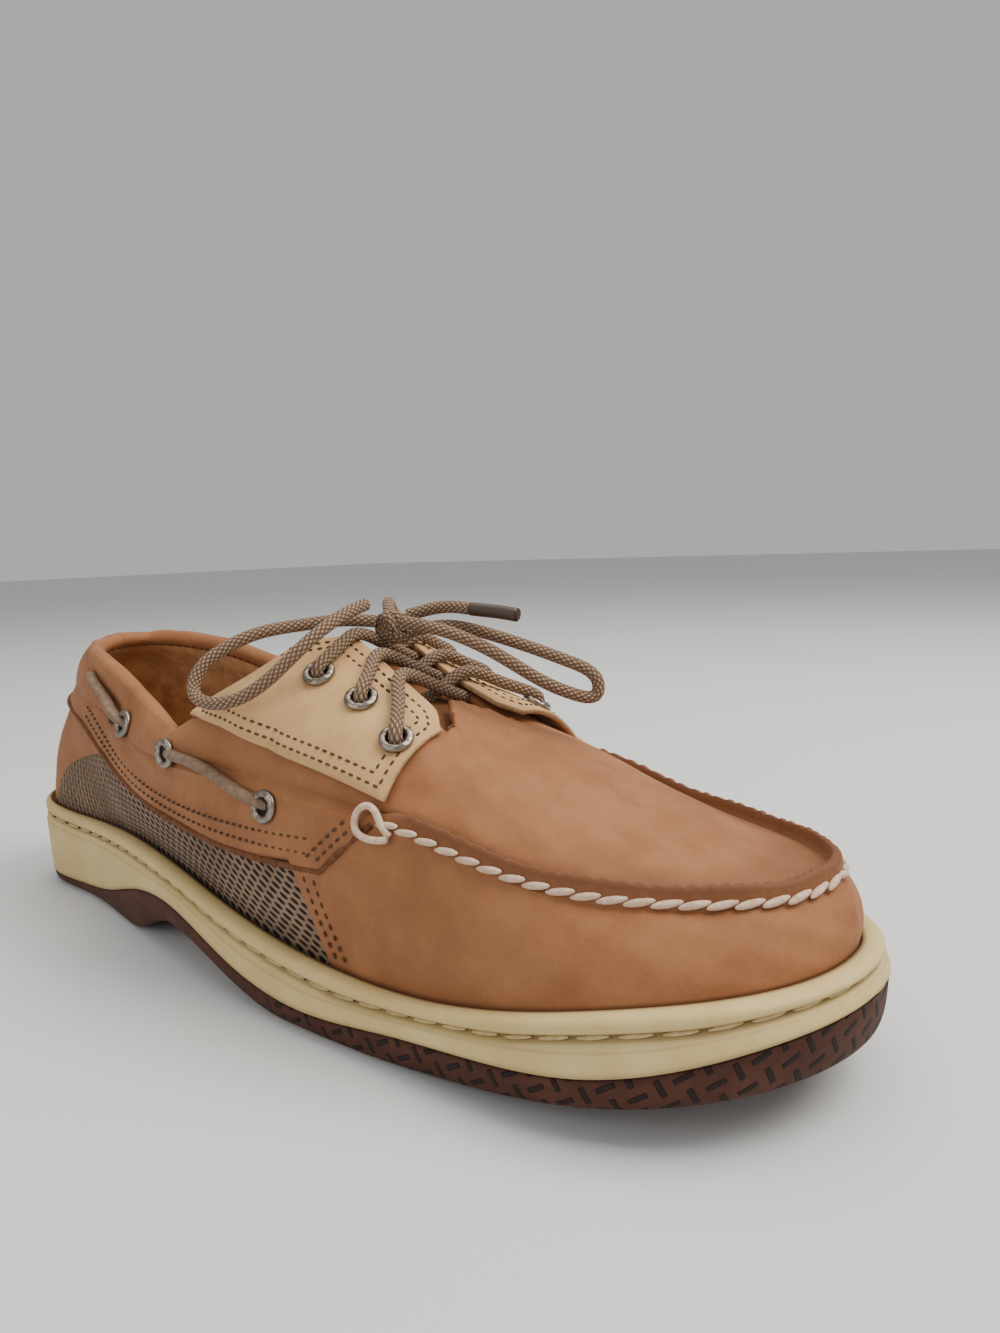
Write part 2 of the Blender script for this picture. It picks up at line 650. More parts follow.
def build_braid(graph: Graph, source: object) -> dict:
    """Round braid: crossing diagonal yarns with pale flecks. Args: graph, source. Returns: outputs."""
    turns = graph.math("DIVIDE", source["Along"], 0.0038)
    around = graph.math("MULTIPLY", source["Around"], 8.0)
    right = graph.math("FRACT", graph.math("ADD", around, graph.math("MULTIPLY", turns, 2.0)))
    left = graph.math("FRACT", graph.math("SUBTRACT", around, graph.math("MULTIPLY", turns, 2.0)))
    rise = graph.math("MULTIPLY", graph.math("SINE", graph.math("MULTIPLY", right, math.pi)),
                      graph.math("SINE", graph.math("MULTIPLY", left, math.pi)))
    fleck = graph.math("MULTIPLY", graph.ramp(right, 0.3, 0.42), graph.ramp(right, 0.78, 0.64))
    return {"Height": rise, "Fleck": graph.math("MULTIPLY", fleck, graph.ramp(rise, 0.25, 0.6))}


@dataclass(frozen=True)
class Finish:
    """Colour and feel of one material, colours as linear light."""

    base: tuple
    dark: tuple
    light: tuple
    roughness: float = 0.6
    sheen: float = 0.0
    gloss: float = 0.3


TAN = Finish((0.285, 0.112, 0.041), (0.175, 0.062, 0.021), (0.41, 0.185, 0.080), 0.68, 0.02)
SADDLE = Finish((0.56, 0.335, 0.145), (0.36, 0.19, 0.072), (0.67, 0.45, 0.235), 0.7, 0.02)
LINING = Finish((0.46, 0.255, 0.120), (0.22, 0.105, 0.045), (0.60, 0.37, 0.19), 0.9, 0.1)
RAW_EDGE = Finish((0.125, 0.042, 0.015), (0.06, 0.020, 0.008), (0.24, 0.095, 0.04), 0.85)
PALE_EDGE = Finish((0.42, 0.245, 0.115), (0.24, 0.125, 0.055), (0.56, 0.37, 0.21), 0.85)
MIDSOLE = Finish((0.52, 0.385, 0.160), (0.20, 0.130, 0.050), (0.60, 0.47, 0.225), 0.6)
RUBBER = Finish((0.052, 0.0145, 0.0068), (0.012, 0.004, 0.002), (0.085, 0.026, 0.012), 0.7)
MESH_CLOTH = Finish((0.185, 0.115, 0.070), (0.010, 0.006, 0.004), (0.27, 0.18, 0.12), 0.9)
BRAID = Finish((0.27, 0.165, 0.098), (0.13, 0.070, 0.038), (0.50, 0.365, 0.245), 0.8, 0.05)
SATIN = Finish((0.19, 0.120, 0.076), (0.11, 0.066, 0.040), (0.29, 0.20, 0.135), 0.7)
THREAD = Finish((0.62, 0.44, 0.315), (0.40, 0.25, 0.160), (0.76, 0.60, 0.47), 0.8)
BROWN_THREAD = Finish((0.085, 0.038, 0.018), (0.03, 0.013, 0.007), (0.15, 0.08, 0.042), 0.8)
GROOVE_THREAD = Finish((0.50, 0.37, 0.17), (0.32, 0.22, 0.095), (0.60, 0.48, 0.27), 0.8)
NICKEL = Finish((0.33, 0.285, 0.24), (0.07, 0.055, 0.042), (0.60, 0.55, 0.49), 0.34)


class Palette:
    """Every material of the shoe, made once."""

    def __init__(self) -> None:
        """Makes the shared node groups, then the materials."""
        self.grain = shader_group("leather_grain", {}, ("Height", "Mottle", "Scuff"), build_grain)
        self.weave = shader_group(
            "open_weave", {"Along": 0.0, "Up": 0.0, "Openness": 1.0}, ("Hole", "Height"), build_weave)
        self.sipes = shader_group("sipe_pattern", {"Along": 0.0, "Up": 0.0}, ("Slit",), build_sipes)
        self.braid = shader_group(
            "round_braid", {"Along": 0.0, "Around": 0.0}, ("Height", "Fleck"), build_braid)
        self.shell = self.make("shell_leather", self.shell_nodes)
        self.lining = self.make("suede_lining", self.lining_nodes)
        self.saddle = self.make("saddle_leather", lambda g, s: self.leather_nodes(g, s, SADDLE))
        self.tan = self.make("tan_leather", lambda g, s: self.leather_nodes(g, s, TAN))
        self.raw_edge = self.make("raw_edge", lambda g, s: self.edge_nodes(g, s, RAW_EDGE))
        self.pale_edge = self.make("pale_edge", lambda g, s: self.edge_nodes(g, s, PALE_EDGE))
        self.midsole = self.make("cream_midsole", self.midsole_nodes)
        self.rubber = self.make("brown_rubber", self.rubber_nodes)
        self.braid_look = self.make("braided_lace", self.braid_nodes)
        self.satin = self.make("satin_lace", lambda g, s: self.edge_nodes(g, s, SATIN))
        self.thread = self.make("cream_thread", lambda g, s: self.edge_nodes(g, s, THREAD))
        self.groove_thread = self.make("groove_thread", lambda g, s: self.edge_nodes(g, s, GROOVE_THREAD))
        self.brown_thread = self.make("brown_thread", lambda g, s: self.edge_nodes(g, s, BROWN_THREAD))
        self.nickel = self.make("aged_nickel", self.metal_nodes)
        self.dark = self.make("dark_hole", lambda g, s: self.plain(s, (0.006, 0.004, 0.003), 0.9))
        self.tip = self.make("lace_tip", lambda g, s: self.plain(s, (0.05, 0.032, 0.022), 0.4))

    def make(self, name: str, build: Callable) -> bpy.types.Material:
        """Args: name: of the material. build: fills in its nodes. Returns: the material."""
        material = bpy.data.materials.new(name)
        material.use_nodes = True
        tree = material.node_tree
        shader = next(n for n in tree.nodes if n.type == "BSDF_PRINCIPLED")
        build(Graph(tree), shader)
        return material

    def plain(self, shader: bpy.types.Node, colour: tuple, roughness: float) -> None:
        """Args: shader: the main node. colour, roughness: constants."""
        shader.inputs["Base Color"].default_value = (*colour, 1.0)
        shader.inputs["Roughness"].default_value = roughness

    def feel(
            self, graph: Graph, shader: bpy.types.Node, finish: Finish, colour: Value,
            normal: Socket, roughness: Value | None = None
    ) -> None:
        """Args: the main node, the finish and what feeds it."""
        graph.put(shader.inputs["Base Color"], colour)
        graph.put(shader.inputs["Roughness"], finish.roughness if roughness is None else roughness)
        graph.put(shader.inputs["Sheen Weight"], finish.sheen)
        graph.put(shader.inputs["Specular IOR Level"], finish.gloss)
        graph.put(shader.inputs["Normal"], normal)

    def leather_colour(self, graph: Graph, finish: Finish) -> tuple:
        """Args: graph, finish. Returns: colour and the grain's outputs."""
        grain = use_group(graph, self.grain)
        colour = graph.mix(graph.ramp(grain["Mottle"], 0.32, 0.68), finish.dark, finish.light)
        colour = graph.mix(0.7, colour, finish.base)
        colour = graph.mix(graph.math("MULTIPLY", grain["Scuff"], 0.28), colour, finish.light)
        return colour, grain

    def leather_nodes(self, graph: Graph, shader: bpy.types.Node, finish: Finish) -> None:
        """Plain leather. Args: graph, shader, finish."""
        colour, grain = self.leather_colour(graph, finish)
        colour = graph.mix(graph.math("MULTIPLY", graph.attribute("shade"), 0.75), colour, finish.dark)
        self.feel(graph, shader, finish, colour, graph.bump(grain["Height"], 0.00016))

    def shell_nodes(self, graph: Graph, shader: bpy.types.Node) -> None:
        """Outer face of the upper: leather panels and the mesh insert. Args: graph, shader."""
        colour, grain = self.leather_colour(graph, TAN)
        shade = graph.attribute("shade")
        colour = graph.mix(graph.math("MULTIPLY", shade, 0.8), colour, RAW_EDGE.base)
        along, up = graph.uv()
        rear = graph.attribute("rear")
        openness = graph.ramp(rear, 0.15, 0.95, 1.0, 0.3)
        weave = use_group(graph, self.weave, Along=along, Up=up, Openness=openness)
        yarn = graph.mix(graph.ramp(grain["Mottle"], 0.3, 0.7), MESH_CLOTH.base, MESH_CLOTH.light)
        cloth = graph.mix(weave["Hole"], yarn, MESH_CLOTH.dark)
        inside = graph.ramp(graph.attribute("mesh_depth"), -0.1, 0.15)
        colour = graph.mix(inside, colour, cloth)
        leather_bump = graph.bump(grain["Height"], 0.00016)
        cloth_bump = graph.bump(weave["Height"], 0.0005)
        blend = graph.node("ShaderNodeMix", data_type="VECTOR")
        graph.put(blend.inputs[0], inside)
        graph.put(blend.inputs[4], leather_bump)
        graph.put(blend.inputs[5], cloth_bump)
        roughness = graph.ramp(inside, 0.0, 1.0, TAN.roughness, MESH_CLOTH.roughness)
        self.feel(graph, shader, TAN, colour, blend.outputs[1], roughness)

    def lining_nodes(self, graph: Graph, shader: bpy.types.Node) -> None:
        """Suede lining that darkens down into the shoe. Args: graph, shader."""
        place = graph.object_place()
        nap = graph.noise(place, 160.0, 5.0, 0.65)
        colour = graph.mix(graph.ramp(nap, 0.35, 0.65), LINING.dark, LINING.light)
        colour = graph.mix(0.6, colour, LINING.base)
        self.feel(graph, shader, LINING, colour, graph.bump(nap, 0.0003))

    def edge_nodes(self, graph: Graph, shader: bpy.types.Node, finish: Finish) -> None:
        """Cut edges, threads and other rough small pieces. Args: graph, shader, finish."""
        place = graph.object_place()
        fibre = graph.noise(place, 700.0, 4.0, 0.6)
        colour = graph.mix(graph.ramp(fibre, 0.3, 0.7), finish.dark, finish.light)
        colour = graph.mix(0.55, colour, finish.base)
        self.feel(graph, shader, finish, colour, graph.bump(fibre, 0.0002))

    def midsole_nodes(self, graph: Graph, shader: bpy.types.Node) -> None:
        """Cream sole with dirt in its grooves and soft scuffs. Args: graph, shader."""
        place = graph.object_place()
        stain = graph.noise(place, 45.0, 5.0, 0.6)
        colour = graph.mix(graph.ramp(stain, 0.3, 0.75), MIDSOLE.base, MIDSOLE.light)
        scuff = graph.ramp(graph.noise(place, 130.0, 6.0, 0.75), 0.6, 0.78)
        colour = graph.mix(graph.math("MULTIPLY", scuff, 0.35), colour, MIDSOLE.dark)
        colour = graph.mix(graph.math("MULTIPLY", graph.attribute("shade"), 0.85), colour, MIDSOLE.dark)
        self.feel(graph, shader, MIDSOLE, colour, graph.bump(graph.noise(place, 600.0, 3.0), 0.00008))

    def rubber_nodes(self, graph: Graph, shader: bpy.types.Node) -> None:
        """Brown rubber with dark slits. Args: graph, shader."""
        along, up = graph.uv()
        slit = use_group(graph, self.sipes, Along=along, Up=up)["Slit"]
        slit = graph.math("MULTIPLY", slit, graph.attribute("tread"))
        place = graph.object_place()
        dust = graph.noise(place, 120.0, 5.0, 0.7)
        colour = graph.mix(graph.ramp(dust, 0.4, 0.75), RUBBER.base, RUBBER.light)
        colour = graph.mix(slit, colour, RUBBER.dark)
        fine = graph.bump(graph.noise(place, 900.0, 3.0), 0.0001)
        deep = graph.bump(graph.math("SUBTRACT", 1.0, slit), 0.0009, 1.0, fine)
        self.feel(graph, shader, RUBBER, colour, deep)

    def braid_nodes(self, graph: Graph, shader: bpy.types.Node) -> None:
        """Round braided lace. Args: graph, shader."""
        along, around = graph.uv()
        braid = use_group(graph, self.braid, Along=along, Around=around)
        colour = graph.mix(graph.ramp(braid["Height"], 0.05, 0.55), BRAID.dark, BRAID.base)
        colour = graph.mix(graph.math("MULTIPLY", braid["Fleck"], 0.65), colour, BRAID.light)
        fine = graph.bump(graph.noise(graph.object_place(), 1800.0, 2.0), 0.00008)
        self.feel(graph, shader, BRAID, colour, graph.bump(braid["Height"], 0.0005, 1.0, fine))

    def metal_nodes(self, graph: Graph, shader: bpy.types.Node) -> None:
        """Aged nickel. Args: graph, shader."""
        place = graph.object_place()
        wear = graph.noise(place, 500.0, 4.0, 0.6)
        colour = graph.mix(graph.ramp(wear, 0.35, 0.65), NICKEL.dark, NICKEL.base)
        colour = graph.mix(0.6, colour, NICKEL.base)
        shader.inputs["Metallic"].default_value = 1.0
        self.feel(graph, shader, NICKEL, colour, graph.bump(wear, 0.0001))


def stations(marks: tuple, count: int, close: float = 0.0008) -> Array:
    """Args: marks: turns that need a pair of columns. count: even ones. Returns: sorted turns."""
    even = [i / count for i in range(count + 1)]
    kept = [t for t in even if all(abs(t - mark) > 2 * close for mark in marks)]
    pairs = [t for mark in marks for t in (mark - close, mark + close)]
    return np.array(sorted(kept + pairs))


def ring_of(turns: Array) -> tuple:
    """Args: turns along one side. Returns: turn and side arrays once round the shoe."""
    turn = np.concatenate([turns, turns[1:-1][::-1]])
    side = np.concatenate([-np.ones(len(turns)), np.ones(len(turns) - 2)])
    return turn, side


def along_uv(points: Array) -> Array:
    """Args: rows by columns of points round the shoe, in mm. Returns: U along and V up, in metres."""
    reference = points[len(points) // 3]
    run = np.linalg.norm(np.diff(reference, axis=0), axis=1)
    u = np.concatenate([[0], np.cumsum(run)]) * MM
    rise = np.linalg.norm(np.diff(points, axis=0), axis=2)
    v = np.concatenate([np.zeros((1, points.shape[1])), np.cumsum(rise, axis=0)]) * MM
    return np.stack([np.broadcast_to(u, v.shape), v], axis=-1)


@dataclass(frozen=True)
class Crease:
    """A soft trough or ridge across the leather, in the form's turn and level."""

    turn: float
    level: float
    run: float
    rise: float
    width: float
    depth: float
    side: int

    def press(self, turn: Number, side: Array, level: Number) -> Array:
        """Args: place. Returns: lift in mm, negative in a trough."""
        du, dv = (turn - self.turn) * TURN_SPAN, (level - self.level) * LEVEL_SPAN
        length = math.hypot(self.run, self.rise)
        along = (du * self.run + dv * self.rise) / length
        away = (dv * self.run - du * self.rise) / length
        fade = np.exp(-((along / length) ** 2)) * np.exp(-((away / self.width) ** 2))
        return -self.depth * fade * (np.asarray(side) == self.side)


CREASES = (
    Crease(0.64, 1.35, 22, 8, 4.0, 0.6, -1),
    Crease(0.66, 1.62, 24, 4, 5.0, 0.5, -1),
    Crease(0.68, 1.5, 20, -4, 6.0, 0.5, 1),
    Crease(0.655, 0.55, 14, 18, 5.0, 0.7, -1),
    Crease(0.70, 0.45, 12, 16, 6.0, 0.5, -1),
    Crease(0.60, 0.35, 8, 16, 4.0, 0.5, -1),
    Crease(0.655, 0.55, 14, 18, 5.0, 0.6, 1),
    Crease(0.46, 0.78, 26, -3, 4.0, 0.5, -1),
    Crease(0.37, 1.05, 20, -14, 5.0, 0.6, -1),
    Crease(0.30, 0.5, 10, 12, 5.0, 0.4, -1),
)


def quarter_front_turn(level: Number) -> Number:
    """Args: level: height on the wall. Returns: turn of the quarter's leaning front edge there."""
    return 0.571 + (level - 0.58) * 0.085


@dataclass
class Upper:
    """The hollow upper: leather panels, mesh insert, raised seam, rolled collar and lining."""

    maker: MeshMaker
    palette: Palette
    columns: int = 190
    channel_depth: float = 1.6
    quarter_step: float = 0.9
    ripple: float = 0.25

    def __post_init__(self) -> None:
        """Places the shell's columns, with a close pair at each corner of its edge."""
        self.turn, self.side = ring_of(stations((VAMP_EDGE, *EDGE_TABLE[:4, 0]), self.columns))

    def lean(self, level: Number) -> Array:
        """Args: level: row. Returns: turns, shifted where the vamp's rear edge leans."""
        near = np.exp(-(((self.turn - VAMP_EDGE) / VAMP_LEAN_REACH) ** 2))
        panel = FORM.panel(self.turn)
        share = np.minimum(np.minimum(level / panel, (1 - level) / (1 - panel)), 1)
        return self.turn - VAMP_LEAN * near * np.maximum(share, 0)

    def is_mesh(self) -> Array:
        """Returns: which columns have the mesh and counter below the quarter."""
        return self.turn < VAMP_EDGE

    def quarter_front(self, turn: Number, level: Number) -> Array:
        """Args: place. Returns: mm behind the quarter's front edge, negative in front of it."""
        edge = quarter_front_turn(np.clip(level, 0.55, 1))
        return (edge - turn) * TURN_SPAN

    def lift(self, turn: Number, level: Number) -> Array:
        """Args: place. Returns: rise of the surface over the smooth form, in mm."""
        behind = self.quarter_front(turn, level)
        step = smooth(behind, -0.4, 0.9) * np.exp(-np.maximum(behind, 0) / 9)
        panel = FORM.panel(turn)
        on_wall = smooth(level, panel - 0.01, panel + 0.02) * (1 - smooth(level, 1.0, 1.12))
        press = sum(crease.press(turn, self.side, level) for crease in CREASES)
        hollow = self.ripple * np.sin(turn * 61 + level * 5) * np.sin(level * 7 + turn * 23)
        channel = self.channel(turn, level)
        return self.quarter_step * step * on_wall + press + hollow * smooth(level, 0, 0.2) - channel

    def channel(self, turn: Number, level: Number) -> Array:
        """Args: place. Returns: depth in mm of the slot that the heel lace runs in."""
        start, end = SIDE_EYELETS["side_back"], HEEL_LACE_END
        middle = start[1] + (end[1] - start[1]) * (start[0] - turn) / (start[0] - end[0])
        near = smooth(start[0] - turn, 0.012, 0.03)
        back = np.where(turn < end[0], 0.6, 1.0)
        return self.channel_depth * near * back * np.exp(-(((level - middle - 0.04) / 0.13) ** 2))

    def outer(self, level: Number, rise: Number = 0.0) -> Array:
        """Args: level: share or one per column. rise: extra lift. Returns: a row of points."""
        level = np.broadcast_to(np.asarray(level, float), self.turn.shape)
        leant = self.lean(level)
        lift = rise + self.lift(leant, level)
        return FORM.point(leant, self.side, level) + FORM.normal(leant, self.side, level) * lift[:, None]

    def thickness(self, level: Number) -> Array:
        """Args: level: row. Returns: the wall's thickness there, in mm."""
        pad = np.where(self.turn < NOTCH_TURN - 0.01, COLLAR_PAD, 0) * smooth(level, 1, 1.8)
        return LEATHER + np.where(self.is_mesh() & (level < 1), PANEL_STEP, 0) + pad

    def inner(self, level: Number) -> Array:
        """Args: level: row. Returns: a row of points on the lining."""
        row = np.full(self.turn.shape, float(level))
        return FORM.point(self.turn, self.side, row) - FORM.normal(self.turn, self.side, row) * (
            self.thickness(level)[:, None]
        )

    def ridge(self, inward: float, rise: Number) -> Array:
        """Args: inward, rise: shares of the raised seam's width and height. Returns: a row."""
        one = np.ones_like(self.turn)
        foot = FORM.point(self.turn, self.side, one)
        run = unit(FORM.top_edge(self.turn, self.side) - foot)
        grow = smooth(self.turn, SEAM_START - 0.02, SEAM_START + 0.02)
        wave = 1 + 0.09 * np.sin(self.turn * 500) + 0.05 * np.sin(self.turn * 1130)
        row = foot + run * inward * RIDGE_WIDTH
        row[:, 2] += rise * RIDGE_HEIGHT * grow * wave
        return row

    def lip(self, share: float, bulge: float) -> Array:
        """Args: share: way over the edge. bulge: rise in wall thicknesses. Returns: a row."""
        a, b = self.outer(2.0), self.inner(2)
        run = unit(self.outer(2.0) - self.outer(1.9))
        thick = np.linalg.norm(a - b, axis=-1, keepdims=True)
        return a + (b - a) * share + run * thick * bulge

    def foot(self, inset: Number) -> Array:
        """Args: inset: mm. Returns: the wall's lower edge inside the sole's well."""
        recess = np.where(self.is_mesh(), PANEL_STEP, 0)
        return FORM.outline(self.turn, self.side, FORM.inset(self.turn) + recess + inset,
                            FORM.rim(self.turn) - WELL_DEPTH + 0.3)

    def build(self) -> Piece:
        """Returns: the shell object with its outer leather and its lining."""
        low = np.where(self.is_mesh(), -PANEL_STEP, 0.0)
        panel = FORM.panel(self.turn)
        rows, shade, levels = [self.foot(0)], [np.full_like(panel, 0.5)], [panel * 0 - 0.1]
        for share in np.linspace(0, 0.985, 26):
            rows.append(self.outer(panel * share, low))
            shade.append(0.9 * (1 - smooth(share, 0, 0.03)) + smooth(share, 0.965, 0.985) * self.is_mesh())
            levels.append(panel * share)
        for share, drop in ((0.99, 0.55), (0.996, 0.2), (1.012, 0.03)):
            rows.append(self.outer(panel * share, low * drop))
            shade.append(0.85 * self.is_mesh() + 0 * panel)
            levels.append(panel * 1.0)
        for share in np.linspace(0.06, 0.985, 14):
            level = panel + (1 - panel) * share
            rows.append(self.outer(level))
            front = np.abs(self.quarter_front(self.lean(level), level))
            shade.append(np.exp(-((front / 0.8) ** 2)) * 0.9)
            levels.append(level)
        seam = smooth(self.turn, SEAM_START - 0.02, SEAM_START + 0.02)
        for inward, rise in ((0.0, 0.0), (0.02, 0.5), (0.15, 0.92), (0.35, 1.06), (0.65, 1.05), (0.85, 0.92),
                             (0.98, 0.45), (1.06, 0.0)):
            rows.append(self.ridge(inward, rise))
            shade.append(seam * (0.5 + 0.5 * smooth(rise, 0.4, 1.0)))
            levels.append(panel * 0 + 1)
        for level in np.concatenate([np.linspace(1.12, 1.3, 5), np.linspace(1.34, 2, 22)]):
            rows.append(self.outer(level))
            slot = self.channel(self.turn, level) / self.channel_depth
            shade.append(0.55 * slot + 0.6 * seam * (1 - smooth(level, 1.12, 1.2)))
            levels.append(panel * 0 + level)
        for share, bulge in ((0.14, 0.19), (0.32, 0.3), (0.5, 0.33), (0.68, 0.3), (0.86, 0.19)):
            rows.append(self.lip(share, bulge))
            shade.append(panel * 0)
            levels.append(panel * 0 + 2)
        for level in (2, 1.93, 1.86):
            rows.append(self.inner(level))
            shade.append(panel * 0 + (0.5 if level < 1.9 else 0))
            levels.append(panel * 0 + 2)
        outer_rows = len(rows)
        for level in (1.8, 1.65, 1.5, 1.35, 1.2, 1.05, 0.9, 0.75, 0.6, 0.45, 0.3, 0.16, 0.08):
            rows.append(self.inner(level))
        rows.append(self.foot(LEATHER))
        extra = len(rows) - outer_rows
        points = np.array(rows)
        levels = np.array(levels + [levels[-1]] * extra)
        depth = self.mesh_depth(levels)
        values = {
            "shade": np.array(shade + [shade[-1]] * extra),
            "mesh_depth": depth,
            "rear": np.broadcast_to(1 - smooth(self.turn, 0.22, 0.42), depth.shape),
            "lining": np.broadcast_to((np.arange(len(rows)) >= outer_rows - 1)[:, None] * 1.0, depth.shape),
        }
        mesh = self.maker.sheet(points, along_uv(points), values, wrap=True, rows_wrap=True)
        layer = mesh.verts.layers.float["lining"]
        for face in mesh.faces:
            face.material_index = int(all(vert[layer] > 0.5 for vert in face.verts))
        shell = self.maker.finish("upper_shell", mesh, [self.palette.shell, self.palette.lining])
        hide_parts("upper")
        return shell

    def mesh_depth(self, levels: Array) -> Array:
        """Args: levels: of each row and column. Returns: mm inside the mesh insert's border."""
        panel = FORM.panel(self.turn)[None]
        below = (panel * 0.985 - levels) * 36
        front = (VAMP_EDGE - self.turn)[None] * TURN_SPAN
        ahead = np.minimum((FORM.counter(self.turn)[None] - levels) * 36, (self.turn[None] - 0.1) * 300)
        counter = np.where(self.turn[None] < COUNTER_TABLE[-1, 0], ahead, np.inf)
        return np.minimum(np.minimum(below, front), counter)


@dataclass
class Strip:
    """A line on the form with beads, stitches and edges along it."""

    turns: Array
    levels: Array
    side: int

    def line(self, count: int, lift: float = 0.0) -> tuple:
        """Args: count: points. lift: mm over the form. Returns: an evenly spaced line."""
        fine = np.linspace(0, 1, count * 4)
        share = np.linspace(0, 1, len(self.turns))
        turn, level = np.interp(fine, share, self.turns), np.interp(fine, share, self.levels)
        points = FORM.raised(turn, self.side, level, lift)
        length = np.concatenate([[0], np.cumsum(np.linalg.norm(np.diff(points, axis=0), axis=1))])
        even = np.linspace(0, length[-1], count)
        turn, level = np.interp(even, length, turn), np.interp(even, length, level)
        normal = FORM.normal(turn, self.side, np.minimum(level, 2))
        return FORM.raised(turn, self.side, level, lift), normal


@dataclass(frozen=True)
class Stitch:
    """One kind of spindle stitch: its size, spacing and turn on the surface, in mm and radians."""

    length: float
    width: float
    height: float
    pitch: float
    tilt: float = 0.0


def add_stitches(mesh: BMesh, line: Array, normal: Array, stitch: Stitch, hand: int = 1) -> None:
    """Lays spindle stitches along a line.

    Args: mesh: the bmesh. line, normal: points and directions in mm. stitch: its kind.
        hand: -1 turns each stitch the other way.
    """
    run = np.concatenate([[0], np.cumsum(np.linalg.norm(np.diff(line, axis=0), axis=1))])
    count = max(int(run[-1] / stitch.pitch), 1)
    for k in range(count):
        s = (k + 0.5) * run[-1] / count
        place = Vector([np.interp(s, run, line[:, i]) for i in range(3)])
        ahead = Vector([np.interp(min(s + 0.5, run[-1]), run, line[:, i]) for i in range(3)])
        out = Vector([np.interp(s, run, normal[:, i]) for i in range(3)]).normalized()
        along = (ahead - place).normalized() if (ahead - place).length > 1e-6 else Vector((1, 0, 0))
        across = out.cross(along).normalized()
        along = across.cross(out)
        tilt = stitch.tilt * hand
        turned = along * math.cos(tilt) + across * math.sin(tilt)
        sideways = out.cross(turned)
        axes = (turned * stitch.length / 2, sideways * stitch.width / 2, out * stitch.height / 2)
        matrix = Matrix(axes).transposed().to_4x4()
        matrix.translation = place
        scale = Matrix.Scale(MM, 4)
        bmesh.ops.create_uvsphere(mesh, u_segments=8, v_segments=6, radius=1.0,
                                  matrix=scale @ matrix @ Matrix.Rotation(math.pi / 2, 4, "Y"))


